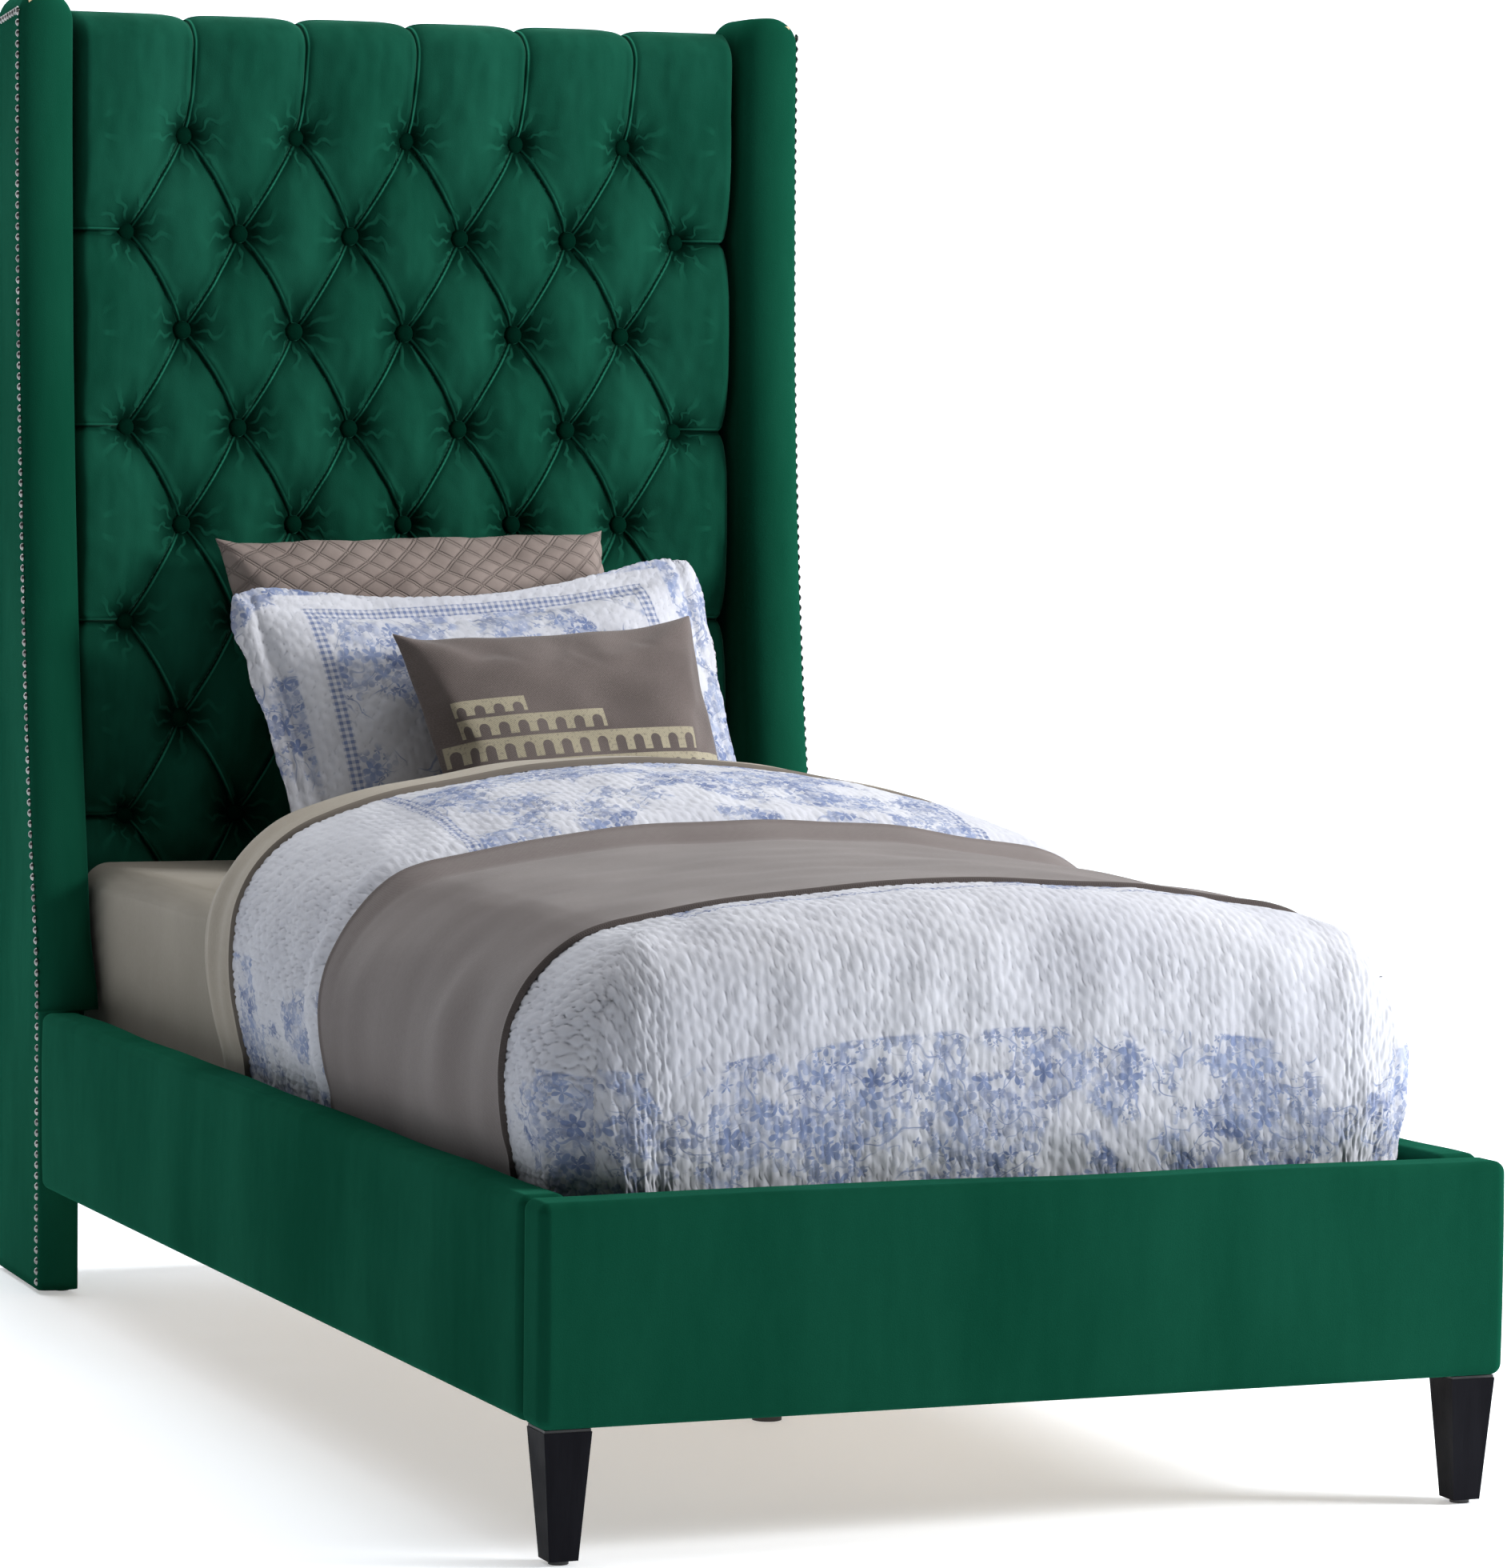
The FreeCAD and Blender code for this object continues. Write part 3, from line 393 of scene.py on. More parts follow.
def toile(name, inner, border):
    """Quilted toile: floral middle, gingham strip round it, plain band, then a floral border, with painted
    shade along the lines of stitches.

    `inner` and `border` give the strip's place and the border's, as functions of the flat cloth.
    """
    g = Graph(name)
    # The cloth's third number is the quilting's height; where it is low, along the lines of stitches, the
    # colour gets painted shade.
    stitched = g.step(g.split(g.cloth())[2], 0.55, 0.05)
    cloth = g.times(g.cloth(), (1.0, 1.0, 0.0))
    frame_at, border_at = inner(g, cloth), border(g, cloth)
    in_middle = g.step(frame_at, 0.003, -0.003)
    on_strip = g.mul(g.step(frame_at, -0.001, 0.001), g.step(frame_at, 0.019, 0.017))
    in_border = g.step(border_at, -0.002, 0.002)
    ink, chance = toile_ink(g, cloth)
    ink = g.mul(ink, g.most(in_middle, in_border))
    check = g.mul(gingham(g, cloth), on_strip)
    linen = g.mix(g.step(g.noise(cloth, 5.0, 4.0), 0.35, 0.65), WHITE_LOW, WHITE)
    blue = g.mix(g.split(chance)[1], INK_PALE, INK_DEEP)
    colour = g.mix(g.mul(ink, 0.92), linen, blue)
    colour = g.mix(g.mul(check, 0.85), colour, INK_DEEP)
    # Painted shade along the lines of stitches.
    colour = g.mix(g.mul(stitched, 0.40), colour, (0.24, 0.255, 0.31))
    puff = g.noise(cloth, 130.0, 3.0, 0.6)
    g.set(
        Base_Color=g.mix(g.mul(g.step(puff, 0.4, 0.7), 0.12), colour, (0.42, 0.45, 0.54)),
        Roughness=g.step(puff, 0.3, 0.7, 0.9, 0.78),
        Sheen_Weight=0.10,
        Specular_IOR_Level=0.10,
    )
    wrinkled = g.bump(g.noise(g.times(cloth, (210.0, 120.0, 1.0)), 1.0, 3.0, 0.6), 0.0009, 0.6)
    g.set(Normal=g.bump(weave(g, cloth, 1000.0), 0.0002, 0.4, wrinkled))
    return g.material


def wood(name, dark, light, along=(0.06, 1.0, 1.0), roughness=0.6, gloss=0.4):
    """Wood with growth rings drawn out along the grain, pores and small dents."""
    g = Graph(name)
    place = g.times(g.place(), along)
    rings = g.noise(g.drift(place, 9.0, 0.06), 34.0, 5.0, 0.6)
    pores = g.noise(g.times(place, (6.0, 1.0, 1.0)), 420.0, 3.0)
    wear = g.noise(g.place(), 11.0, 4.0)
    tone = g.add(g.mul(rings, 0.7), g.mul(pores, 0.3))
    g.set(
        Base_Color=g.mix(g.step(tone, 0.36, 0.64), dark, light),
        Roughness=g.step(wear, 0.3, 0.7, roughness + 0.1, roughness - 0.08),
        Specular_IOR_Level=gloss,
    )
    g.set(Normal=g.bump(tone, 0.0005, 0.6, g.bump(wear, 0.001, 0.3)))
    return g.material


def metal(name, colour, dull, roughness, metallic=1.0):
    """Metal or paint with brushed marks, smudges and a fine grain."""
    g = Graph(name)
    place = g.place()
    marks = g.noise(g.times(place, (40.0, 40.0, 700.0)), 1.0, 4.0)
    smudge = g.noise(place, 35.0, 4.0)
    grain = g.noise(place, 1300.0, 2.0)
    rough = g.add(g.mul(marks, 0.5), g.mul(smudge, 0.5))
    g.set(
        Base_Color=g.mix(g.step(smudge, 0.35, 0.7), colour, dull),
        Metallic=metallic,
        Roughness=g.step(rough, 0.3, 0.7, roughness, roughness + 0.16),
    )
    g.set(Normal=g.bump(grain, 0.0001, 0.3, g.bump(marks, 0.0002, 0.2)))
    return g.material


GREEN_SHEEN = (0.12, 0.70, 0.46)
GREEN = velvet("velvet_green", (0.0030, 0.046, 0.025), (0.0062, 0.066, 0.038), GREEN_SHEEN)
# The buttons' velvet is far darker than the panel's: painted shade of the hollows that the buttons sit in.
BUTTON_GREEN_SHADED = velvet("button_velvet", (0.0006, 0.010, 0.006), (0.0012, 0.018, 0.010), GREEN_SHEEN, 0.0004)
PINE_DARK, PINE_PALE = (0.42, 0.27, 0.13), (0.66, 0.48, 0.28)
PINE = wood("pine", PINE_DARK, PINE_PALE)
PINE_UPRIGHT = wood("pine_upright", PINE_DARK, PINE_PALE, (1.0, 1.0, 0.06))
PINE_LONG = wood("pine_long", (0.40, 0.26, 0.13), (0.64, 0.47, 0.28), (1.0, 0.06, 1.0))
PLYWOOD = wood("plywood", (0.50, 0.36, 0.20), (0.68, 0.52, 0.33), (1.0, 1.0, 0.1))
LEG_BLACK = wood("leg_black", (0.003, 0.003, 0.005), (0.007, 0.007, 0.010), (1.0, 1.0, 0.05), 0.55, 0.06)
STEEL_BLACK = metal("steel_black", (0.02, 0.02, 0.022), (0.045, 0.045, 0.046), 0.42, 0.3)
ZINC = metal("zinc_steel", (0.62, 0.62, 0.60), (0.45, 0.46, 0.47), 0.32)
CHROME = metal("nail_chrome", (0.30, 0.30, 0.29), (0.14, 0.14, 0.135), 0.22)
NYLON = metal("nylon", (0.05, 0.05, 0.052), (0.08, 0.08, 0.08), 0.55, 0.0)
TWINE = wood("twine", (0.42, 0.36, 0.27), (0.60, 0.54, 0.44), (1.0, 0.1, 1.0), 0.85)


# ---------------------------------------------------------------- placing pieces on their bodies


def place_on(made, body, replaced, material):
    made.data.materials.clear()
    made.data.materials.append(material)
    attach(made, body)
    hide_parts(*replaced)
    return made


# ---------------------------------------------------------------- tufted headboard panel

TUFT_X, TUFT_Z, TUFT_TOP_Z = 0.163, 0.135, 1.586
PANEL_HALF, PANEL_BACK, PANEL_LOW, PANEL_TOP = 0.4915, 1.083, 0.305, 1.755
PANEL_BASE, TUFT_DEPTH = 0.035, 0.048
BUTTON_ROWS = 9
BEND_RIGHT, BEND_LEFT = 0.0030, -0.0015
TOP_SHIFT, TOP_BEND = 0.010, 0.003
CREASE, HOLLOW = 0.005, 0.046


def button_rows():
    rows = []
    for row in range(BUTTON_ROWS):
        count = 6 if row % 2 else 5
        rows.append([((i - (count - 1) / 2) * TUFT_X, TUFT_TOP_Z - row * TUFT_Z) for i in range(count)])
    return rows


def tuft_folds():
    """Folds between buttons and from the outer buttons to the panel's edges: (start, end, bend)."""
    rows = button_rows()
    beyond = 0.05
    folds = []
    for upper, lower in zip(rows, rows[1:]):
        for start in upper:
            for end in lower:
                if abs(start[0] - end[0]) < TUFT_X * 0.6:
                    folds.append((start, end, BEND_RIGHT if end[0] > start[0] else BEND_LEFT))
    folds += [((x, z), (x + TOP_SHIFT, PANEL_TOP + beyond), -TOP_BEND) for x, z in rows[0]]
    folds += [((x, z), (x, PANEL_LOW - beyond), 0.0) for x, z in rows[-1]]
    for row in rows[1::2]:
        for (x, z), side in ((row[0], -1), (row[-1], 1)):
            folds.append(((x, z), (side * (PANEL_HALF + beyond), z), 0.0))
    return folds


def pleats(g, cloth):
    """Fine detail of the tufting: painted shade in the pleats, the hollows and the holes round the buttons,
    painted highlight on the pleats' turned edges and the gathers round the buttons, and the height of all of
    these for the bump.
    """
    x, z, hollow_shade = g.split(cloth)
    a, b = g.mul(x, 1 / TUFT_X), g.mul(g.sub(z, TUFT_TOP_Z), 0.5 / TUFT_Z)
    lowest = TUFT_TOP_Z - (BUTTON_ROWS - 1) * TUFT_Z
    outer = 2.5 * TUFT_X
    scale = 1 / math.hypot(1 / TUFT_X, 0.5 / TUFT_Z)
    reach = g.absolute(x)
    rows = g.mul(g.step(z, TUFT_TOP_Z + 0.002, TUFT_TOP_Z), g.step(z, lowest - 0.002, lowest))
    within = g.mul(rows, g.step(reach, outer + 0.002, outer))

    def nearest(value):
        return g.sub(g.math("FRACT", g.add(value, 0.5)), 0.5)

    def swing(value):
        return g.absolute(g.math("SINE", g.mul(value, math.pi)))

    p, q = g.add(a, b), g.sub(a, b)
    near_p, near_q = nearest(p), nearest(q)
    rise = g.mul(g.sub(z, TUFT_TOP_Z), 1 / 0.219)
    upright = g.add(g.mul(rise, TOP_SHIFT), g.mul(g.math("SINE", g.mul(rise, math.pi)), TOP_BEND))
    above = g.mul(g.step(z, TUFT_TOP_Z, TUFT_TOP_Z + 0.004), g.step(reach, 2.4 * TUFT_X, 2.3 * TUFT_X))
    beside = g.mul(rows, g.step(reach, outer, outer + 0.004))
    lines = [
        (g.sub(g.mul(near_p, scale), g.mul(swing(q), BEND_RIGHT)), within, swing(q)),
        (g.sub(g.mul(near_q, scale), g.mul(swing(p), BEND_LEFT)), within, swing(p)),
        (g.sub(g.mul(nearest(a), TUFT_X), upright), above, 1.0),
        (g.mul(nearest(g.add(b, 0.5)), 2 * TUFT_Z), beside, 0.5),
    ]
    # Each pleat is a dark line of painted shade with a turned edge of painted highlight beside it; both also
    # go into the height.
    groove, turned = 0.0, 0.0
    for across, where, strength in lines:
        line = g.mul(g.step(g.absolute(across), 0.0022, 0.0004), where)
        edge = g.step(g.absolute(g.sub(across, 0.0034)), 0.0020, 0.0002)
        groove = g.most(groove, line)
        turned = g.most(turned, g.mul(g.mul(edge, where), strength))
    under_top = g.step(z, TUFT_TOP_Z + 0.065, TUFT_TOP_Z + 0.06)
    near_rows = g.mul(under_top, g.step(z, lowest - 0.065, lowest - 0.06))
    near_rows = g.mul(near_rows, g.step(reach, 0.455, 0.445))
    dx, dz = g.mul(g.add(near_p, near_q), TUFT_X / 2), g.mul(g.sub(near_p, near_q), TUFT_Z)
    away = g.math("SQRT", g.add(g.mul(dx, dx), g.mul(dz, dz)))
    rays = g.add(g.mul(g.math("ARCTAN2", dz, dx), 9.0), g.mul(g.noise(cloth, 3.5, 0.0), 7.0))
    ring = g.mul(g.step(away, 0.070, 0.026), g.step(away, 0.014, 0.024))
    gathers = g.mul(g.mul(g.step(g.math("SINE", rays), 0.45, 1.0), ring), near_rows)
    # Painted shade in the hole round each button, and painted highlight on the gathers' ridges.
    button_hole_shade = g.mul(g.step(away, 0.024, 0.013), near_rows)
    deep = g.most(g.most(g.mul(groove, 0.85), hollow_shade), g.mul(button_hole_shade, 0.9))
    height = g.sub(g.add(turned, g.mul(gathers, 0.6)), groove)
    return deep, g.mul(g.most(turned, g.mul(gathers, 0.22)), 0.7), height


def tufted_panel():
    """Padded panel: folds pull its face in between the buttons, and its edges roll over."""
    xs, zs = cuts(-PANEL_HALF, PANEL_HALF, 0.004, 0.012), cuts(PANEL_LOW, PANEL_TOP, 0.004, 0.012)
    x, z = (grid.ravel() for grid in np.meshgrid(xs, zs))
    place = np.stack([x, z], 1)
    rise, lip = np.ones(len(x)), np.zeros(len(x))
    for start, end, bend in tuft_folds():
        start, along = np.array(start), np.array(end) - np.array(start)
        length = np.linalg.norm(along)
        offset = place - start
        t = offset @ along / length**2
        kept = np.clip(t, 0, 1)
        across = (offset[:, 1] * along[0] - offset[:, 0] * along[1]) / length
        across = across - bend * np.sin(math.pi * kept) * (np.abs(across) < 0.05)
        away = np.hypot(across, (t - kept) * length)
        rise *= 1 - 0.46 * (0.24 * np.exp(-away / CREASE) + 0.76 * np.exp(-((away / HOLLOW) ** 1.5)))
        above = across * (1 if along[0] > 0 else -1)
        held = smooth(t, 0.02, 0.2) * smooth(1 - t, 0.02, 0.2)
        lip += 0.0038 * held * np.exp(-(((above - 0.0065) / 0.0042) ** 2))
        lip -= 0.0034 * held * np.exp(-(((above + 0.0015) / 0.0034) ** 2))
    height = TUFT_DEPTH * rise + lip
    for row, buttons in enumerate(button_rows()):
        for column, (bx, bz) in enumerate(buttons):
            away = np.hypot(x - bx, z - bz)
            angle = np.arctan2(z - bz, x - bx)
            ring = np.exp(-((away / 0.036) ** 2)) * (1 - np.exp(-((away / 0.014) ** 2)))
            fan = np.sin(11 * angle + 1.7 * row + 2.3 * column) + 0.6 * np.sin(17 * angle + column)
            height += 0.0021 * ring * fan * (0.75 - 0.35 * np.sin(angle))
            height -= 0.012 * np.exp(-((away / 0.019) ** 2))
    height += 0.0010 * waves(place, 0.11, 3) + 0.0005 * waves(place, 0.035, 4)
    side = 1 - np.clip((PANEL_HALF - np.abs(x)) / 0.022, 0, 1)
    top = 1 - np.clip((PANEL_TOP - z) / 0.050, 0, 1)
    bottom = 1 - np.clip((z - PANEL_LOW) / 0.030, 0, 1)
    edge = np.sqrt((1 - side**2.2) * (1 - top**2.2) * (1 - bottom**2.2))
    y = PANEL_BACK - edge * (PANEL_BASE + np.clip(height, 0, TUFT_DEPTH))
    notches = sum(np.exp(-np.abs(x - bx - 0.008) / 0.011) for bx, _ in button_rows()[0])
    z = z - 0.010 * notches * smooth(z, 1.69, 1.755)
    tucks = sum(np.exp(-np.abs(z - row[0][1]) / 0.013) for row in button_rows()[1::2])
    x = x - np.sign(x) * 0.009 * tucks * smooth(np.abs(x), 0.44, 0.4915)
    # How deep a place lies below the tufts' crowns is written into the cloth's third number; the velvet
    # darkens by it as painted shade in the hollows.
    depth = smooth(np.clip(1 - height / TUFT_DEPTH, 0, 1), 0.30, 0.84)
    shade = np.column_stack([place, 0.85 * depth])
    faces = grid_faces(len(zs), len(xs), flip=True)
    made = make_mesh("tufted_panel", np.stack([x, y, z], 1), faces)
    close_loops(made, [rim_of(len(zs), len(xs))])
    write_cloth(made, shade)
    dark, light, sheen = (0.0027, 0.037, 0.021), (0.0094, 0.080, 0.050), (0.30, 0.76, 0.56)
    material = velvet("velvet_green_tufted", dark, light, sheen, folds=pleats)
    place_on(made, "bed_frame", ["tufted_pad"], material)


def tuft_buttons():
    """Covered buttons: domed tops whose cover is gathered under a rounded rim."""
    ring = 24
    turns = np.linspace(0, TAU, ring, endpoint=False)
    across, upward = np.cos(turns), np.sin(turns)
    profile = [(0.0004, 1.0385), (0.005, 1.0389), (0.009, 1.0403), (0.0118, 1.0425), (0.0130, 1.0455)]
    profile += [(0.0124, 1.0476), (0.0100, 1.0480)]
    points, faces = [], []
    for row in button_rows():
        for x, z in row:
            start = len(points) * ring
            for radius, y in profile:
                points.append(np.stack([x + radius * across, np.full(ring, y), z + radius * upward], 1))
            faces.append(grid_faces(len(profile), ring, closed=True) + start)
    made = make_mesh("tuft_button_covers", np.concatenate(points), np.concatenate(faces))
    # The very dark velvet stands for the shade in each button's hollow.
    place_on(made, "bed_frame", ["tufting_buttons"], BUTTON_GREEN_SHADED)


# ---------------------------------------------------------------- wings

BED_HALF, BED_HALF_LENGTH = 0.575, 1.125
RAIL_LOW, RAIL_TOP, RAIL_INNER = 0.147, 0.388, 0.520
WING_TOP, WING_INNER, WING_DOME = 1.775, 0.492, 0.040
WING_SPLAY = 10 / 245
FRONT_Z = np.array([0.0, 0.388, 0.470, 0.560, 0.680, 0.806, 0.950, 1.098, 1.300, 1.600, 1.8])
FRONT_Y = np.array([0.860, 0.860, 0.8695, 0.884, 0.9045, 0.925, 0.942, 0.956, 0.9695, 0.978, 0.978])


def wing_front(z):
    """Where the wing's front line is at a height, with the corners of the listed places eased."""
    spread = np.linspace(-0.03, 0.03, 7)
    return np.mean([np.interp(z + s, FRONT_Z, FRONT_Y) for s in spread], axis=0)


def wing(side, name, replaced):
    """Padded wing from the floor up, thicker above the rail, with a rolled front edge and a domed top."""
    dome_from = WING_TOP - WING_DOME
    below, above = np.linspace(0.006, 0.386, 30), np.linspace(0.390, dome_from, 190)
    levels = np.concatenate([below, [0.3872, 0.3888], above])
    dome = np.linspace(0, 0.5 * math.pi, 12)[1:]
    inset = np.concatenate([np.zeros(len(levels)), 0.030 * (1 - np.cos(dome))])
    levels = np.concatenate([levels, dome_from + WING_DOME * np.sin(dome)])
    arc = np.linspace(0, 0.5 * math.pi, 14)
    rows = []
    for z, d in zip(levels, inset):
        above = z > RAIL_TOP
        inner, corner = (WING_INNER + d, 0.022) if above else (RAIL_INNER + d, 0.010)
        front, back = float(wing_front(z)) + d, BED_HALF_LENGTH - d * 0.7
        outer = BED_HALF - d
        splay_from = 0.880 + 0.110 * z / WING_TOP
        fuller = float(smooth(z, RAIL_TOP, 0.50))
        roll = 0.010 + 0.034 * fuller
        middle = inner + (outer - inner) * (0.5 + 0.1 * fuller)
        stretches = [
            (np.full(26, inner), np.linspace(back, front + roll, 26)),
            (middle - (middle - inner) * np.cos(arc[1:]), front + roll * (1 - np.sin(arc[1:]))),
            (middle + (outer - middle) * np.sin(arc[1:]), front + corner * (1 - np.cos(arc[1:]))),
            (np.full(25, outer), np.linspace(front + corner, back, 26)[1:]),
            (np.linspace(outer, inner, 8)[1:-1], np.full(6, back)),
        ]
        outline = np.concatenate([np.stack(stretch, 1) for stretch in stretches])
        splay = np.clip(outline[:, 1] - splay_from, 0, None) * WING_SPLAY
        outline[:, 0] -= splay * smooth(outline[:, 0], 0.53, 0.56)
        rows.append(np.column_stack([outline, np.full(len(outline), z)]))
    points, count = np.concatenate(rows), len(rows[0])
    made = make_mesh(name, points, grid_faces(len(rows), count, closed=True))
    normals = read_normals(made)
    facing = smooth(-normals[:, 1], 0.1, 0.7)
    up = points[:, 2]
    around = np.tile(np.arange(count), len(rows))
    gathers = np.sin(around * 1.25 + 1.0) * smooth(up, 1.69, 1.745)
    gathers = gathers * smooth(1.778 - up, 0.0, 0.012) * facing
    soft = waves(points * (1.0, 1.0, 0.35), 0.07, 11 + side) * 0.0007
    soft = soft + waves(points, 0.25, 15 + side) * 0.0010
    pinch = np.exp(-(((up - 1.715) / 0.006) ** 2)) * facing
    creep = smooth(up, 0.40, 0.46) * facing
    points = points + normals * (0.0012 * gathers + soft * creep - 0.0012 * pinch)[:, None]
    points[:, 0] *= side
    write_points(made, points)
    if side < 0:
        made.data.flip_normals()
    first, last = np.arange(count), np.arange(count) + (len(rows) - 1) * count
    close_loops(made, [first[::-side], last[::side]] if side > 0 else [first, last[::-1]])
    place_on(made, "bed_frame", [replaced], GREEN)


# ---------------------------------------------------------------- rails and footboard


def rail_cover(name, low, high, core_low, core_high, replaced, outward, seed):
    """Padded cover of one rail: soft edges, a slight swell, and a groove where the core fills it."""
    step = [0.010 if high[a] - low[a] < 0.1 else 0.016 for a in range(3)]
    places = [cuts(low[a], high[a], step[a], 0.014) for a in range(3)]
    hem = 0.002
    for axis in range(2):
        near, far = core_low[axis], core_high[axis]
        if near > low[axis] + hem:
            places[axis] = np.unique(np.append(places[axis], [near - hem, near]))
        if far < high[axis] - hem:
            places[axis] = np.unique(np.append(places[axis], [far, far + hem]))
    points, faces = box_shell(*places)
    within = np.ones(len(points), bool)
    for axis in range(2):
        within &= points[:, axis] > core_low[axis] - 1e-6
        within &= points[:, axis] < core_high[axis] + 1e-6
    grooved = within & (points[:, 2] < low[2] + 1e-6)
    points = rounded(points, low, high, (0.013, 0.013, 0.013))
    middle = (low[2] + high[2]) / 2
    swell = 1 - ((points[:, 2] - middle) / (high[2] - middle)) ** 2
    axis, sign = outward
    face = sign * (points[:, axis] - (low[axis] + high[axis]) / 2) / ((high[axis] - low[axis]) / 2)
    soft = smooth(face, 0.2, 0.9)
    points[:, axis] += sign * soft * (0.0022 * swell + 0.0006 * waves(points, 0.22, seed) * swell)
    points[:, 2] += 0.0010 * waves(points[:, :2], 0.3, seed + 1) * smooth(points[:, 2], 0.36, 0.388)
    points[grooved, 2] = low[2] + 0.006
    made = make_mesh(name, points, faces)
    place_on(made, "bed_frame", [replaced], GREEN)


def rails():
    core_top, beyond = 0.376, 2.0
    for side, name in ((-1, "left"), (1, "right")):
        xs = sorted((side * RAIL_INNER, side * BED_HALF))
        core = sorted((side * 0.533, side * 0.563))
        low, high = (xs[0], -1.0625, RAIL_LOW), (xs[1], 0.8600, RAIL_TOP)
        core_low, core_high = (core[0], -beyond, RAIL_LOW), (core[1], beyond, core_top)
        cover = "side_rail_cover_" + name
        rail_cover("rail_pad_" + name, low, high, core_low, core_high, cover, (0, side), 40 + side)
    low, high = (-BED_HALF, -BED_HALF_LENGTH, RAIL_LOW), (BED_HALF, -1.0635, RAIL_TOP)
    core_low, core_high = (-0.563, -1.109, RAIL_LOW), (0.563, -1.079, core_top)
    rail_cover("footboard_pad", low, high, core_low, core_high, "footboard_cover", (1, -1), 50)


def back_cloth():
    """Dust cloth over the back, turned over the frame's edges, a little slack between the timbers."""
    half, back, low, top, turned = 0.490, 1.1222, 0.200, 1.7475, 0.038
    ends = np.array([half, half + 0.003, half + 0.02, half + turned])
    across = np.concatenate([-ends[::-1], np.linspace(-half, half, 52)[1:-1], ends])
    upward = np.concatenate([np.linspace(low, top, 80), top + ends[1:] - half])
    u, v = (grid.ravel() for grid in np.meshgrid(across, upward))
    over = np.maximum(np.maximum(np.abs(u) - half, v - top), 0)
    points = np.stack([np.clip(u, -half, half), back - over, np.minimum(v, top)], 1)
    slack = smooth(half - np.abs(u), 0.05, 0.2)
    for rail_z in (0.235, 0.97, 1.71):
        slack *= smooth(np.abs(v - rail_z), 0.03, 0.16)
    points[:, 1] -= slack * (0.004 + 0.002 * waves(points, 0.3, 61))
    faces = grid_faces(len(upward), len(across))
    in_corner = (np.abs(u)[faces].mean(1) > half) & (v[faces].mean(1) > top)
    used, faces = np.unique(faces[~in_corner], return_inverse=True)
    cloth = np.stack([u, v, 0 * u], 1)[used]
    made = make_mesh("back_cloth", points[used], faces.reshape(-1, 4), cloth)
    dark, light = (0.018, 0.018, 0.02), (0.035, 0.035, 0.038)
    material = plain_cloth("back_cloth_black", dark, light, 500.0, 0.001, 0.1)
    place_on(made, "bed_frame", ["headboard_back_cover"], material)


# ---------------------------------------------------------------- mattress and fitted sheet


def mattress():
    """Mattress with quilted faces and a tape edge round its top and bottom."""
    low, high = (-0.485, -1.031, 0.300), (0.485, 0.996, 0.580)
    radius, quilted_pitch = 0.035, 0.09
    places = [cuts(low[a], high[a], 0.020, radius) for a in range(3)]
    places[2] = np.unique(np.append(places[2], np.linspace(low[2], high[2], 57)))
    points, faces = box_shell(*places)
    points = rounded(points, low, high, (radius, radius, radius))
    made = make_mesh("mattress_body", points, faces)
    normals = read_normals(made)
    wall = smooth(np.hypot(normals[:, 0], normals[:, 1]), 0.6, 0.95)
    tape = sum(np.exp(-(((points[:, 2] - z) / 0.004) ** 2)) for z in (0.330, 0.550))
    x, y = (points[:, a] * math.pi / quilted_pitch for a in range(2))
    quilted = np.abs(np.sin(x) * np.sin(y)) ** 0.5
    inward = 0.0025 * (1 - wall) * (1 - quilted) + 0.0015 * wall * (1 - np.clip(tape, 0, 1))
    write_points(made, points - normals * inward[:, None])
    g = Graph("ticking")
    place = g.place()
    damask = g.step(g.noise(g.drift(place, 20.0, 0.03), 45.0, 2.0), 0.48, 0.52)
    g.set(
        Base_Color=g.mix(g.mul(damask, 0.5), (0.72, 0.71, 0.67), (0.60, 0.60, 0.58)),
        Roughness=g.step(damask, 0.0, 1.0, 0.88, 0.72),
        Sheen_Weight=0.2,
    )
    g.set(Normal=g.bump(g.noise(place, 800.0, 2.0), 0.0003, 0.5, g.bump(damask, 0.0006, 0.5)))
    place_on(made, "mattress_set", ["mattress"], g.material)


def fitted_sheet():
    """Sheet drawn over the mattress, open below, with strained wrinkles at its corners."""
    low, high, radius = (-0.487, -1.033, 0.310), (0.487, 0.998, 0.582), 0.037
    places = [cuts(low[a], high[a], 0.012, radius) for a in range(3)]
    points, faces = box_shell(*places)
    faces = faces[~np.all(points[faces][:, :, 2] < low[2] + 1e-6, axis=1)]
    arc_low = (low[0], low[1], low[2] - 0.05)
    points = rounded(points, arc_low, high, (radius, radius, radius))
    made = make_mesh("fitted_sheet_cloth", points, faces)
    normals = read_normals(made)
    corner = smooth(high[0] - np.abs(points[:, 0]), 0.30, 0.0)
    corner = corner * smooth(np.minimum(high[1] - points[:, 1], points[:, 1] - low[1]), 0.45, 0.0)
    strain = np.sin((points[:, 2] * 1.3 + np.abs(points[:, 1]) * 0.6) * TAU / 0.045)
    drop = smooth(np.abs(normals[:, 0]) + np.abs(normals[:, 1]), 0.5, 0.9)
    amount = 0.0008 * corner * strain * drop + 0.0006 * waves(points, 0.16, 71) - 0.0008
    points = points + normals * np.minimum(amount, 0.0)[:, None]
    write_points(made, points)
    unfolded = points[:, 0] + normals[:, 0] * points[:, 2]
    write_cloth(made, np.column_stack([unfolded, points[:, 1], np.zeros(len(points))]))
    dark, light = (0.27, 0.245, 0.205), (0.33, 0.30, 0.255)
    material = plain_cloth("sheet_fitted", dark, light, 1100.0, 0.0012, 0.15)
    place_on(made, "mattress_set", ["fitted_sheet"], material)


# ---------------------------------------------------------------- bedding

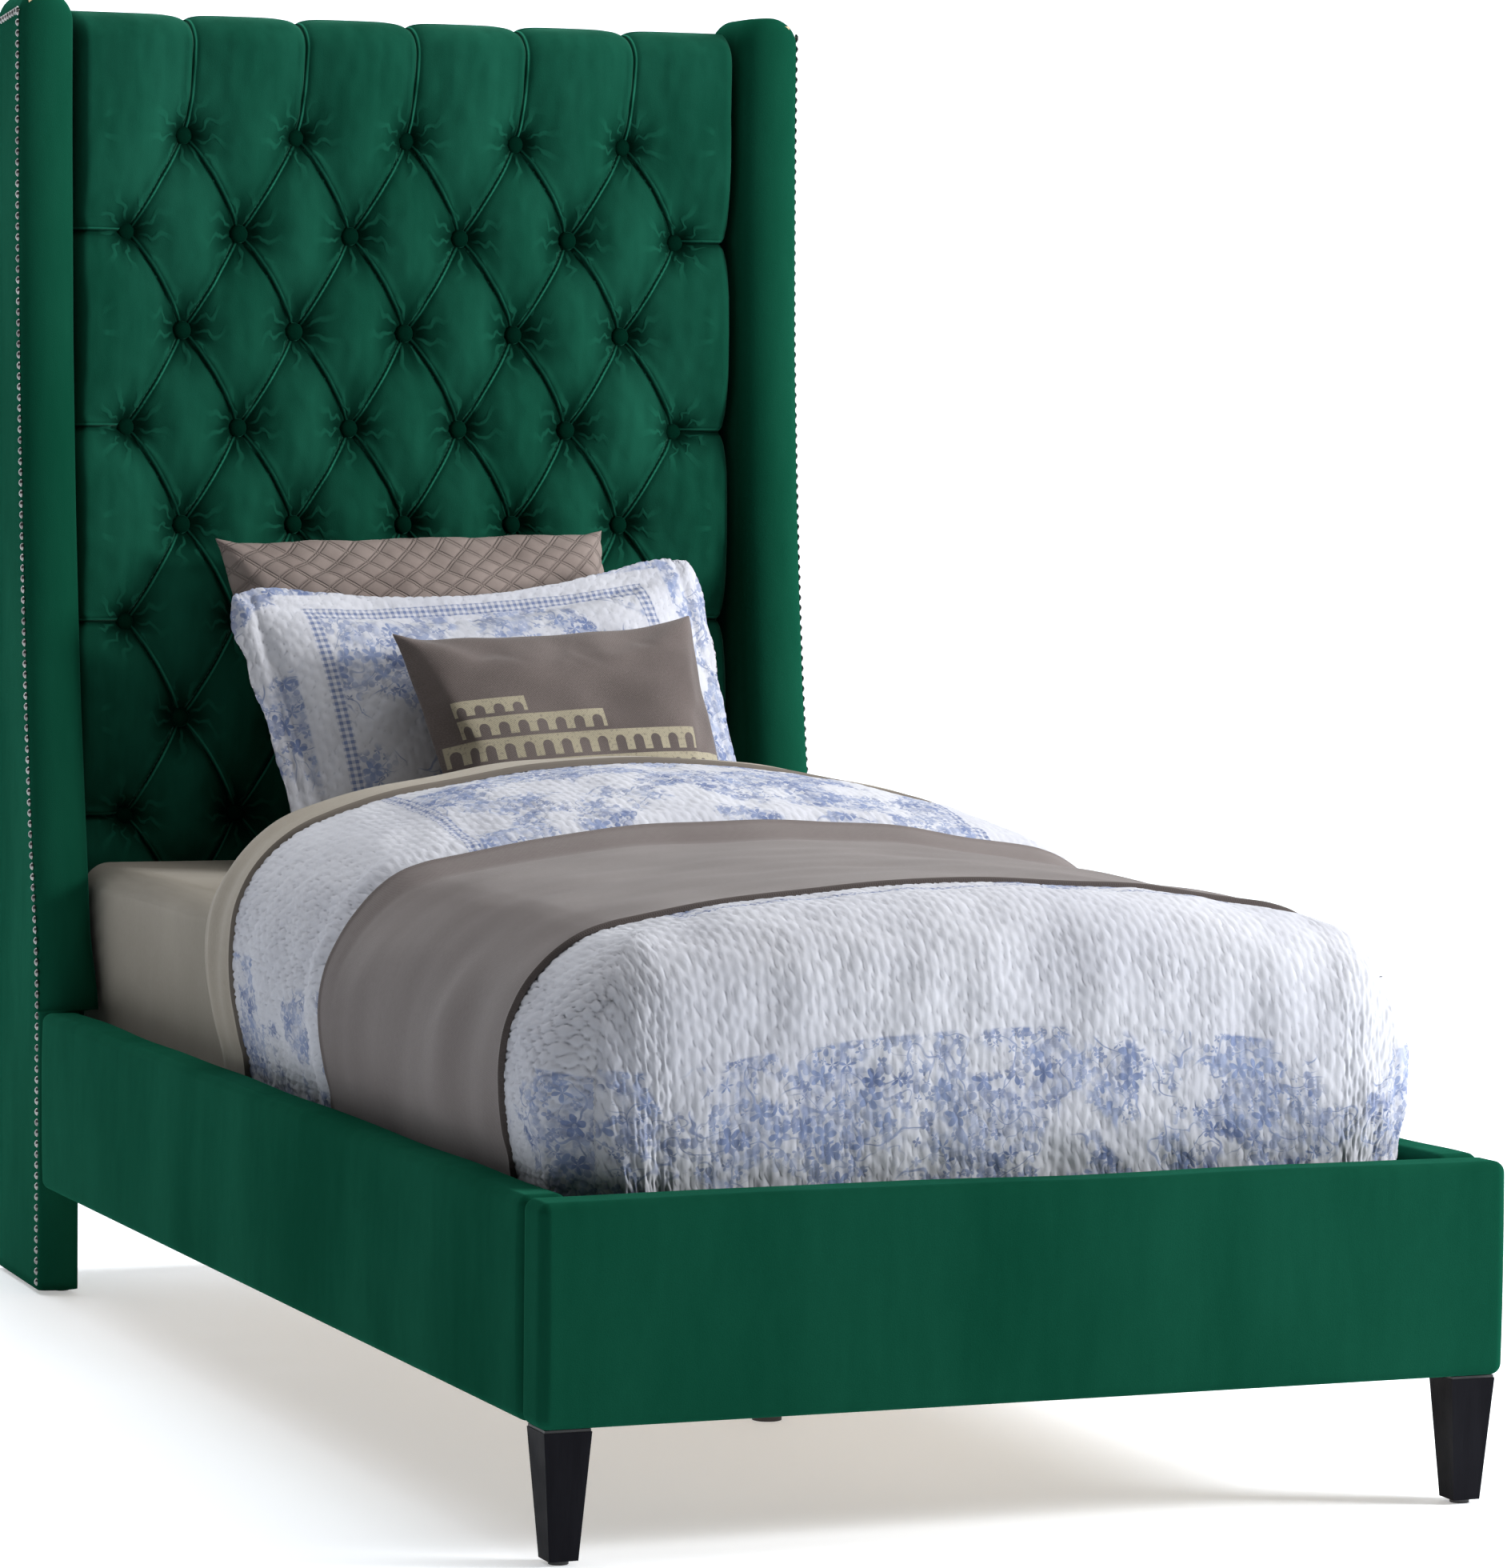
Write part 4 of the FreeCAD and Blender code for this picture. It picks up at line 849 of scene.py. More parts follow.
SHOULDER, FOOT_CORE, HEAD_CORE = 0.40, -0.95, 0.195
REACH = 0.43
SIDE_LOW = [(0, 0), (0.035, 0.010), (0.068, 0.032), (0.100, 0.066), (0.122, 0.108), (0.130, 0.150),
            (0.129, 0.200), (0.120, 0.245), (0.109, 0.280), (0.108, 0.310), (0.109, 0.345)]
SIDE_HIGH = [(0, 0), (0.040, 0.014), (0.075, 0.040), (0.105, 0.075), (0.128, 0.120), (0.136, 0.170),
             (0.135, 0.215), (0.124, 0.270), (0.109, 0.318), (0.108, 0.350), (0.109, 0.398)]
FOOT_DROP = [(0, 0), (0.035, 0.008), (0.065, 0.026), (0.087, 0.055), (0.099, 0.095), (0.104, 0.140),
             (0.105, 0.200), (0.104, 0.260), (0.103, 0.300), (0.103, 0.360)]
HEAD_DROP = [(0, 0), (0.035, 0.010), (0.062, 0.028), (0.085, 0.055), (0.098, 0.085), (0.104, 0.120),
             (0.105, 0.150), (0.103, 0.172)]


def profile(corners, reach, distance):
    """Smoothed outline at a distance along it: how far out, and how far down."""
    corners = np.array(corners, float)
    along = np.concatenate([[0], np.cumsum(np.linalg.norm(np.diff(corners, axis=0), axis=1))])
    along *= reach / along[-1] if reach else 1
    fine = np.linspace(0, along[-1], 400)
    width = 0.018
    out = np.zeros((2, 400))
    for shift in np.linspace(-width, width, 9):
        for axis in range(2):
            out[axis] += np.interp(fine + shift, along, corners[:, axis]) / 9
    out -= out[:, :1] * np.exp(-fine / 0.02)
    return tuple(np.interp(distance, fine, out[axis]) for axis in range(2))


def plump(y):
    """Share of the extra height that the bedding has towards the head, from 0 to 1."""
    t = np.clip((y + 0.275) / 0.33, 0, 1)
    return (1 - (1 - t) ** 2) ** 0.85


def bed_top(u, v):
    """The made-up bed's surface for places on a flat cloth laid over it: points, and the print's places.

    The print's places follow the surface, so that a corner's tucked cloth doesn't squeeze the print.
    """
    x, y = np.clip(u, -SHOULDER, SHOULDER), np.clip(v, FOOT_CORE, HEAD_CORE)
    du = np.maximum(np.abs(u) - SHOULDER, 0)
    dv = np.maximum(FOOT_CORE - v, 0) + np.maximum(v - HEAD_CORE, 0)
    turn = np.arctan2(dv, du)
    distance = (du**4 + dv**4) ** 0.25
    high = plump(y)
    low_out, low_down = profile(SIDE_LOW, REACH, distance)
    high_out, high_down = profile(SIDE_HIGH, REACH, distance)
    foot_out, foot_down = profile(FOOT_DROP, REACH, distance)
    head_out, head_down = profile(HEAD_DROP, 0, distance)
    at_head = v > HEAD_CORE
    end_out, end_down = np.where(at_head, head_out, foot_out), np.where(at_head, head_down, foot_down)
    end = smooth(turn / (math.pi / 2))
    out = (low_out + (high_out - low_out) * high) * (1 - end) + end_out * end
    down = (low_down + (high_down - low_down) * high) * (1 - end) + end_down * end
    crown, shoulder = 0.692 + 0.073 * high, 0.655 + 0.053 * high
    top = crown - (crown - shoulder) * (x / SHOULDER) ** 2
    away = np.where(v > HEAD_CORE, 1.0, -1.0)
    points = np.stack([x + np.sign(u) * np.cos(turn) * out, y + away * np.sin(turn) * out, top - down], -1)
    bend = 0.105
    on_side = turn < math.pi / 4
    across = np.where(on_side, distance, bend * (math.pi / 2 - turn)) * (du > 0)
    along = np.where(on_side, bend * turn, distance) * (dv > 0)
    return points, np.stack([x + np.sign(u) * across, y + away * along], -1)


def grid_normals(points):
    """Outward normals of a grid of points laid out as (along, across)."""
    across, along = np.gradient(points, axis=1), np.gradient(points, axis=0)
    normal = np.cross(across, along)
    return normal / np.maximum(np.linalg.norm(normal, axis=2, keepdims=True), 1e-9)


def puckers(u, v):
    """Height from 0 to 1 of wash-puckered quilting: short puffs between wavy lines of stitches."""
    place = np.stack([u.ravel(), v.ravel()], 1)
    across = (u + 0.0016 * waves(place, 0.09, 81).reshape(u.shape)) / 0.0112
    along = (v + 0.0060 * waves(place, 0.08, 83).reshape(v.shape)) / 0.024
    sway = 0.44 * np.sin(TAU * along) * np.cos(math.pi * across)
    return np.abs(np.sin(math.pi * (across + sway))) ** 0.8


def wide_waves(u, v, length, seed, stretch=(1.0, 1.0)):
    """Smooth random values of about one over a grid of places."""
    places = np.stack([u.ravel() * stretch[0], v.ravel() * stretch[1]], 1)
    return waves(places, length, seed).reshape(u.shape)


def rumples(u, v, z):
    """Soft unevenness that every layer of the bedding shares."""
    hang = smooth(z, 0.36, 0.46)
    sides = wide_waves(u, v, 0.16, 91, (0.35, 1.0)) * smooth(np.abs(u), 0.40, 0.60)
    foot = wide_waves(u, v, 0.18, 92, (1.0, 0.3)) * smooth(-v, 0.95, 1.10)
    return 0.0018 * hang * (sides + foot) + wide_waves(u, v, 0.20, 93) * 0.0014


def bed_layer(u, v, lift, relief, settle=0.0):
    """Grid of cloth over the bed at that lift above its surface, with relief along its normals."""
    u, v = np.meshgrid(u, v)
    points, print_at = bed_top(u, v)
    normals = grid_normals(points)
    height = rumples(u, v, points[..., 2]) + lift(v) + relief(u, v, points, print_at)
    points = points + normals * height[..., None]
    clear = smooth(points[..., 2], 0.380, 0.430)
    limit = 0.5165 + settle
    squeezed = np.clip(points[..., 0], -limit, limit)
    points[..., 0] = squeezed + (points[..., 0] - squeezed) * clear
    return u, v, points, print_at


def lay(name, print_at, points, mark, replaced, material):
    cloth = np.concatenate([print_at, mark[..., None]], -1).reshape(-1, 3)
    rows, columns = mark.shape
    made = make_mesh(name, points.reshape(-1, 3), grid_faces(rows, columns, flip=True), cloth)
    return place_on(made, "mattress_set", [replaced], material)


def comforter():
    """Filled comforter under the quilt, quilted in squares, with its rim just above the mattress."""
    reach, pitch, tucked_z = 0.125, 0.23, 0.588
    columns = np.linspace(-SHOULDER - reach, SHOULDER + reach, 90)
    rows = np.linspace(FOOT_CORE - reach, HEAD_CORE + 0.17, 110)
    u, v = np.meshgrid(columns, rows)
    across, foot = np.maximum(np.abs(u) - SHOULDER, 0), np.maximum(FOOT_CORE - v, 0)
    pull = np.minimum(1, reach / np.maximum((across**4 + foot**4) ** 0.25, 1e-9))
    u = np.sign(u) * (np.minimum(np.abs(u), SHOULDER) + across * pull)
    v = np.maximum(v, FOOT_CORE) - foot * pull
    points, _ = bed_top(u, v)
    normals = grid_normals(points)
    puffs = np.abs(np.sin(u * math.pi / pitch) * np.sin(v * math.pi / pitch)) ** 0.4
    points = points - normals * (0.014 + 0.004 * (1 - puffs))[..., None]
    rim = np.zeros(u.shape, bool)
    rim[0], rim[-1], rim[:, 0], rim[:, -1] = True, True, True, True
    points[..., 2] = np.maximum(points[..., 2], tucked_z)
    points[rim, 2] = tucked_z
    points[..., 0] = np.clip(points[..., 0], -0.496, 0.496)
    points[..., 1] = np.clip(points[..., 1], -1.038, 0.284)
    made = make_mesh("comforter_fill", points.reshape(-1, 3), grid_faces(*u.shape, flip=True))
    close_loops(made, [rim_of(*u.shape)])
    write_cloth(made, np.stack([u, v, 0 * u], -1).reshape(-1, 3))
    dark, light = (0.72, 0.72, 0.72), (0.82, 0.82, 0.81)
    material = plain_cloth("comforter_shell", dark, light, 1000.0, 0.002, 0.2)
    place_on(made, "mattress_set", ["comforter"], material)


def past_sides_and_foot(half, foot):
    """How far a place is outside a printed frame that is open at the head."""

    def outside(g, cloth):
        x, y, _ = g.split(cloth)
        return g.most(g.sub(g.absolute(x), half), g.sub(foot, y))

    return outside


HANG = 0.825
CLOTH_EDGE, CLOTH_HALF = 0.0035, 0.822
HEM_CUTS = np.array([0, 0.0015, 0.003, 0.0045, 0.006, 0.008, 0.011])


def quilt():
    """Puckered quilt over the bed, with a swell beside the throw's head edge."""

    def relief(u, v, _, print_at):
        free = smooth(v, -0.235, -0.215) * smooth(0.105 - v, 0, 0.02) + smooth(-0.865 - v, 0, 0.03)
        swell = np.exp(-(((v + 0.205) / 0.022) ** 2)) * 0.006
        puffs = 0.0030 * (puckers(print_at[..., 0], print_at[..., 1]) - 1)
        return puffs + wide_waves(u, v, 0.075, 94) * 0.0009 * free + swell

    columns, rows = np.linspace(-HANG, HANG, 560), np.linspace(-1.372, 0.235, 276)
    u, v, points, print_at = bed_layer(columns, rows, lambda v: 0.0 * v, relief)
    inner, border = past_sides_and_foot(0.325, -0.903), past_sides_and_foot(0.615, -1.155)
    material = toile("quilt_toile", inner, border)
    # The quilting's heights go into the cloth's third number, for the painted shade along the lines of
    # stitches.
    stitches = puckers(print_at[..., 0], print_at[..., 1])
    made = lay("quilt_cover", print_at, points, stitches, "quilt", material)


def throw():
    """Throw across the quilt, with a piped hem along both edges."""
    low, high = -0.868, -0.232

    def lift(v):
        edge = np.minimum(v - low, high - v)
        roll = 0.0018 * np.exp(-(((edge - CLOTH_EDGE) / 0.003) ** 2))
        return 0.0040 + roll - 0.0055 * smooth(0.0025 - edge, 0, 0.0025)

    def relief(u, v, points, _):
        return wide_waves(u, v, 0.10, 101, (0.18, 1.0)) * 0.0006 * smooth(points[..., 2], 0.36, 0.46)

    middle = np.linspace(low + 0.015, high - 0.015, 78)
    v = np.unique(np.round(np.concatenate([low + HEM_CUTS, middle, high - HEM_CUTS]), 5))
    columns = np.linspace(-CLOTH_HALF, CLOTH_HALF, 210)
    u, v, points, print_at = bed_layer(columns, v, lift, relief, 0.0012)
    sway = 0.010 * np.sin(u * 5.0 + 0.6) * smooth(np.abs(u), 0.0, 0.5)
    points[..., 1] += sway * smooth(points[..., 2], 0.30, 0.40)
    mark = (np.minimum(v - low, high - v) < CLOTH_EDGE).astype(float)
    dark, light, piping = (0.142, 0.122, 0.118), (0.182, 0.160, 0.155), (0.085, 0.072, 0.068)
    material = plain_cloth("throw_taupe", dark, light, 700.0, 0.0010, 0.2, piping)
    made = lay("throw_cloth", print_at, points, mark, "throw", material)


def flat_sheet():
    """Flat sheet turned back over the quilt's head, with a piped hem along its foot edge."""
    start, end = 0.112, HEAD_CORE + 0.180

    def lift(v):
        roll = 0.0018 * np.exp(-(((v - start - 0.004) / 0.003) ** 2))
        return 0.0045 + roll - 0.0065 * smooth(start + 0.003 - v, 0, 0.003)

    def relief(u, v, points, _):
        hang = smooth(points[..., 2], 0.36, 0.46)
        return wide_waves(u, v, 0.07, 111, (0.12, 1.0)) * 0.0012 * hang

    v = np.unique(np.round(np.concatenate([start + HEM_CUTS, np.linspace(start + 0.015, end, 54)]), 5))
    columns = np.linspace(-CLOTH_HALF, CLOTH_HALF, 210)
    u, v, points, print_at = bed_layer(columns, v, lift, relief, 0.0015)
    sway = 0.012 * np.sin(np.abs(u) * 7 + 1.0) * smooth(np.abs(u), 0.45, 0.8)
    points[..., 1] += sway * smooth(v, start, start + 0.1)
    mark = (v < start + CLOTH_EDGE).astype(float)
    dark, light, piping = (0.29, 0.26, 0.215), (0.36, 0.325, 0.275), (0.16, 0.14, 0.12)
    material = plain_cloth("sheet_turned", dark, light, 1100.0, 0.002, 0.2, piping)
    made = lay("sheet_turnback", print_at, points, mark, "flat_sheet", material)


# ---------------------------------------------------------------- pillows


def cushion_faces(rows, columns):
    """Two grids of points that share their rim: point numbers of the front and the back, and the quads."""
    front = np.arange(rows * columns).reshape(rows, columns)
    back = front.copy()
    inside = np.arange((rows - 2) * (columns - 2)).reshape(rows - 2, columns - 2)
    back[1:-1, 1:-1] = inside + rows * columns
    faces = []
    for index, flip in ((front, False), (back, True)):
        corners = [index[:-1, :-1], index[:-1, 1:], index[1:, 1:], index[1:, :-1]]
        quads = np.stack(corners, -1).reshape(-1, 4)
        faces.append(quads[:, ::-1] if flip else quads)
    return front, back, np.concatenate(faces)


SETTLING_FRAMES = 20


def settle_cloth(points, faces, pressure, spread, cap):
    """Where a cloth simulation with air inside takes the cover, moved by no more than `cap`."""
    made = make_mesh("settling", points, faces)
    cloth = made.modifiers.new("Cloth", "CLOTH")
    cloth.settings.quality = 6
    cloth.settings.mass = 0.25
    cloth.settings.tension_stiffness = 18
    cloth.settings.compression_stiffness = 18
    cloth.settings.shear_stiffness = 6
    cloth.settings.bending_stiffness = 0.35
    cloth.settings.use_pressure = True
    cloth.settings.uniform_pressure_force = pressure
    cloth.settings.effector_weights.gravity = 0
    cloth.settings.shrink_min = -spread
    cloth.collision_settings.use_collision = False
    for number in range(1, SETTLING_FRAMES + 1):
        scene.frame_set(number)
    seen = made.evaluated_get(bpy.context.evaluated_depsgraph_get())
    settled = read_points(seen)
    scene.frame_set(1)
    bpy.data.objects.remove(made)
    moved = settled - points
    size = np.maximum(np.linalg.norm(moved, axis=1, keepdims=True), 1e-9)
    return points + moved / size * cap * np.tanh(size / cap)


def cushion(name, size, columns, rows, pinch, sag, flange, air, tuck=0.0, corner=0.0):
    """Stuffed cover, upright and centred: sides pinched in, top sagging, lower corners tucked under."""
    width, height, thickness = size
    front, back, faces = cushion_faces(rows, columns)
    s, t = np.meshgrid(np.linspace(-1, 1, columns), np.linspace(-1, 1, rows))
    s, t = np.sin(s * math.pi / 2) * 0.25 + s * 0.75, np.sin(t * math.pi / 2) * 0.25 + t * 0.75
    eased = 1 - corner * s**6 * t**6
    s, t = s * eased, t * eased
    x = width / 2 * s * (1 - pinch * (1 - t**2)) * (1 - tuck * smooth(-t, -0.6, 1.0))
    z = height / 2 * t * (1 - pinch * 1.3 * (1 - s**2))
    z = z - sag * (1 - s**2) * smooth(t, -0.2, 1.0)
    fx, fz = 1 - 2 * flange / width, 1 - 2 * flange / height
    a, b = np.clip(np.abs(s) / fx, 0, 1), np.clip(np.abs(t) / fz, 0, 1)
    body = ((1 - a**2.3) * (1 - b**2.3)) ** 0.62
    edge = 0.003 * (1 - np.maximum(np.abs(s), np.abs(t)) ** 8)
    deep = thickness / 2 * body + edge
    points = np.zeros((rows * columns + (rows - 2) * (columns - 2), 3))
    cloth = np.zeros_like(points)
    for index, sign in ((back, 1), (front, -1)):
        points[index] = np.stack([x, sign * deep, z], -1)
        cloth[index] = np.stack([x, z, 0 * x + sign], -1)
    points = settle_cloth(points, faces, *air)
    made = make_mesh(name, points, faces, cloth)
    subdivide(made)
    return made


def stand(made, lean, turn, centre, slump=0.0):
    """Lean the cushion back, turn it in its plane and set its centre; `slump` slides its lower part over."""
    points = read_points(made)
    points[:, 0] -= slump * points[:, 2]
    write_points(made, points)
    leaned = Matrix.Rotation(-math.radians(lean), 4, "X")
    turned = Matrix.Rotation(-math.radians(turn), 4, "Y")
    made.data.transform(Matrix.Translation(centre) @ leaned @ turned)
    made.data.update()


QUILTED_X, QUILTED_Z = 0.044, 0.033


def diamond_stitches(g, cloth):
    """Pairs of stitched lines that cross in diamonds on the pillow's front, darkened as painted shade, and
    their dip in height for the bump.
    """
    x, z, side = g.split(cloth)
    x, z = g.mul(x, 1 / QUILTED_X), g.mul(z, 1 / QUILTED_Z)
    line = 0.0
    for mixed in (g.add(x, z), g.sub(x, z)):
        off = g.absolute(g.sub(g.math("FRACT", g.add(mixed, 0.5)), 0.5))
        line = g.most(line, g.step(g.absolute(g.sub(off, 0.075)), 0.060, 0.012))
    line = g.mul(line, g.step(side, 0.2, -0.2))
    return g.mul(line, 0.20), 0.0, g.sub(1.0, line)


def back_pillow():
    """Velvet pillow, quilted in diamonds on its front, against the headboard."""
    size, air = (0.596, 0.462, 0.146), (4.0, 0.03, 0.012)
    made = cushion("pillow_back_quilted", size, 78, 60, 0.055, -0.020, 0.0, air, 0.17)
    points, normals, cloth = read_points(made), read_normals(made), read_cloth(made)
    front = smooth(-cloth[:, 2], -0.2, 0.6)
    x, z = cloth[:, 0] / QUILTED_X, cloth[:, 1] / QUILTED_Z
    puffs = np.abs(np.sin(math.pi * (x + z)) * np.sin(math.pi * (x - z))) ** 0.45
    inner = smooth(0.295 - np.abs(points[:, 0]), 0.0, 0.02)
    inner = inner * smooth(0.226 - np.abs(points[:, 2]), 0.0, 0.02)
    relief = 0.0034 * (puffs - 1) * front * inner + 0.0012 * waves(points, 0.07, 121)
    write_points(made, points + normals * relief[:, None])
    stand(made, 7.0, 1.5, (0.014, 0.918, 0.811), 0.13)
    dark, light, sheen = (0.200, 0.162, 0.148), (0.285, 0.238, 0.218), (0.9, 0.85, 0.8)
    material = velvet("pillow_velvet", dark, light, sheen, 0.0005, (1, 1, 1), 9.0, diamond_stitches)
    place_on(made, "back_pillow", ["pillow_back"], material)


def past_rectangle(half_width, half_height):
    """How far a place is outside a printed rectangle."""

    def outside(g, cloth):
        x, z, _ = g.split(cloth)
        return g.most(g.sub(g.absolute(x), half_width), g.sub(g.absolute(z), half_height))

    return outside


def sham_pillow():
    """Quilted pillow with a wide scalloped flange and a stitched seam inside it."""
    width, height, thickness, flange = 0.742, 0.456, 0.136, 0.052
    size, air = (width, height, thickness), (4.0, 0.03, 0.010)
    made = cushion("pillow_sham_quilted", size, 92, 60, 0.045, 0.050, flange, air, 0.06, 0.125)
    points, normals, cloth = read_points(made), read_normals(made), read_cloth(made)
    x, z = points[:, 0], points[:, 2]
    reach = np.maximum(np.abs(x) / (width / 2), np.abs(z) / (height / 2))
    rim = smooth(reach, 0.86, 1.0)
    around = np.where(np.abs(x) / width > np.abs(z) / height, z, x)
    scallop = np.abs(np.sin(around * math.pi / 0.088)) ** 1.3
    inward = 0.010 * (1 - scallop) * rim
    points[:, 0] -= np.sign(x) * inward * smooth(np.abs(x) / width - np.abs(z) / height, -0.05, 0.05)
    points[:, 2] -= np.sign(z) * inward * smooth(np.abs(z) / height - np.abs(x) / width, -0.05, 0.05)
    points[:, 1] += 0.009 * rim * waves(points[:, ::2], 0.13, 131)
    flat = cloth[:, :2]
    quilted = puckers(flat[:, :1], flat[:, 1:])[:, 0]
    seam = np.exp(-(((reach - 0.845) / 0.012) ** 2))
    relief = 0.0022 * (quilted - 1) * smooth(0.99 - reach, 0.0, 0.03) - 0.002 * seam
    relief += 0.0010 * waves(points, 0.07, 132)
    relief += 0.0016 * np.exp(-(((reach - 0.985) / 0.012) ** 2))
    write_points(made, points + normals * relief[:, None])
    # The quilting's heights go into the cloth's third number, for the painted shade along the lines of
    # stitches.
    write_cloth(made, np.column_stack([flat, quilted]))
    stand(made, 15.0, 4.0, (0.040, 0.758, 0.809), 0.11)
    material = toile("sham_toile", past_rectangle(0.232, 0.132), past_rectangle(0.285, 0.178))
    place_on(made, "sham_pillow", ["pillow_sham"], material)


ARCH_PITCH, ARCH_DROP = 0.026, 0.016
ARCHED_ROWS = [
    (-0.110, -0.072, -0.208, 0.208),
    (-0.068, -0.034, -0.208, 0.208),
    (-0.030, 0.000, -0.208, 0.156),
    (0.004, 0.030, -0.182, 0.026),
    (0.034, 0.056, -0.182, -0.078),
]


def printed_cloth():
    """Taupe cloth with a sand-coloured row of plain arches and blocks printed near its lower edge."""
    g = Graph("pillow_print")
    cloth = g.cloth()
    x, z, side = g.split(cloth)
    ink = None
    for low, high, left, right in ARCHED_ROWS:
        block = g.mul(g.step(z, low, low + 0.001), g.step(z, high, high - 0.001))
        between = g.mul(g.step(x, left, left + 0.001), g.step(x, right, right - 0.001))
        block = g.mul(block, between)
        along = g.math("FRACT", g.mul(x, 1 / ARCH_PITCH))
        across = g.mul(g.absolute(g.sub(along, 0.5)), ARCH_PITCH)
        top = high - ARCH_DROP
        leg = g.mul(g.step(across, 0.0075, 0.0068), g.step(z, top, top - 0.0006))
        round_top = g.add(g.mul(across, across), g.math("POWER", g.absolute(g.sub(z, top)), 2.0))
        arch = g.most(leg, g.step(round_top, 0.0000563, 0.0000490))
        block = g.mul(block, g.sub(1.0, arch))
        ink = block if ink is None else g.most(ink, block)
    rubbed = g.step(g.noise(cloth, 260.0, 3.0), 0.30, 0.48)
    ink = g.mul(g.mul(ink, g.step(side, 0.2, -0.2)), g.add(g.mul(rubbed, 0.45), 0.5))
    tone = g.add(g.mul(g.noise(cloth, 8.0, 4.0), 0.6), g.mul(g.noise(cloth, 500.0, 3.0), 0.4))
    taupe = g.mix(g.step(tone, 0.36, 0.64), (0.100, 0.084, 0.080), (0.145, 0.122, 0.116))
    g.set(
        Base_Color=g.mix(ink, taupe, (0.34, 0.31, 0.23)),
        Roughness=g.step(tone, 0.3, 0.7, 0.93, 0.8),
        Sheen_Weight=0.2,
        Sheen_Roughness=0.4,
        Specular_IOR_Level=0.02,
    )
    nap = g.bump(g.noise(cloth, 420.0, 4.0), 0.0007, 0.6)
    g.set(Normal=g.bump(weave(g, cloth, 600.0), 0.0003, 0.5, nap))
    return g.material


def front_pillow():
    """Small oblong pillow with the arches printed on its front."""
    size, air = (0.455, 0.342, 0.100), (4.5, 0.03, 0.012)
    made = cushion("pillow_front_printed", size, 62, 48, 0.05, -0.005, 0.0, air, 0.03)
    points, normals = read_points(made), read_normals(made)
    write_points(made, points + normals * (0.0012 * waves(points, 0.08, 141))[:, None])
    stand(made, 18.0, 3.0, (0.100, 0.606, 0.762), 0.13)
    place_on(made, "front_pillow", ["pillow_front"], printed_cloth())


# ---------------------------------------------------------------- CAD pieces that stay as they are

def pair(name):
    return [name + "_left", name + "_right"]


HEADBOARD_RAILS = ["headboard_rail_" + place for place in ("top", "middle", "bottom")]
CENTRE_LEGS = ["centre_leg_front", "centre_leg_back"]
CENTRE_GLIDES = ["centre_glide_front", "centre_glide_back"]
BRACKETS = pair("foot_bracket") + pair("head_bracket") + pair("leg_plate")
FINISHES = [
    (PINE_LONG, 0.0015, pair("side_rail_core") + pair("slat_ledge") + ["centre_beam"]),
    (PINE, 0.0015, ["footboard_core", "slats"] + HEADBOARD_RAILS),
    (PINE_UPRIGHT, 0.0015, pair("headboard_stile") + pair("wing_post") + pair("wing_leg") + CENTRE_LEGS),
    (PLYWOOD, 0.0006, ["headboard_board"] + pair("wing_panel")),
    (LEG_BLACK, 0.0012, pair("front_leg")),
    (STEEL_BLACK, 0.0004, BRACKETS + ["beam_hangers"]),
    (ZINC, 0, ["wing_bolts", "bracket_bolts", "leg_bolts", "slat_screws"]),
    (CHROME, 0, pair("nailheads")),
    (NYLON, 0, ["wing_glides", "leg_glides"] + CENTRE_GLIDES),
    (TWINE, 0, ["button_ties"]),
]


def finish_cad():
    """Materials of the CAD pieces, and softened edges on those that have a width for them."""
    for material, softened, names in FINISHES:
        for name in names:
            nodes[name].data.materials.clear()
            nodes[name].data.materials.append(material)
            if softened:
                bevel = nodes[name].modifiers.new("Bevel", "BEVEL")
                bevel.width = softened
                bevel.segments = 2
                bevel.limit_method = "ANGLE"


# ---------------------------------------------------------------- studio


FLOOR_NEAR, FLOOR_FAR, FLOOR_CURVE, BACKDROP_TOP = -14.0, 6.0, 3.0, 14.0
CAMERA_PLACE = (-2.661, -6.833, 1.232)
CAMERA_YAW, CAMERA_PITCH, CAMERA_ROLL = 0.386, -0.066, 0.011


def paper_floor():
    """Pale floor that curves up into a backdrop."""
    line = [(FLOOR_NEAR, 0.0), (FLOOR_FAR, 0.0)]
    for a in np.linspace(0, math.pi / 2, 16)[1:]:
        line.append((FLOOR_FAR + FLOOR_CURVE * math.sin(a), FLOOR_CURVE * (1 - math.cos(a))))
    line.append((FLOOR_FAR + FLOOR_CURVE, BACKDROP_TOP))
    xs = np.linspace(-16, 16, 9)
    points = np.array([(x, y, z) for y, z in line for x in xs])
    floor = make_mesh("floor", points, grid_faces(len(line), len(xs), flip=True))
    g = Graph("floor_paper")
    g.set(
        Base_Color=g.mix(g.noise(g.place(), 2.0, 3.0), (0.86, 0.90, 0.95), (0.88, 0.92, 0.97)),
        Roughness=0.6,
        Specular_IOR_Level=0.1,
        Emission_Color=(1.0, 1.0, 1.0),
        Emission_Strength=0.38,
    )
    floor.data.materials.append(g.material)


def matrix_of(axes, place):
    """Matrix of an object with these three axes at that place."""
    rows = np.stack(axes, 1)
    return Matrix([[*row, place[i]] for i, row in enumerate(rows)] + [[0, 0, 0, 1]])


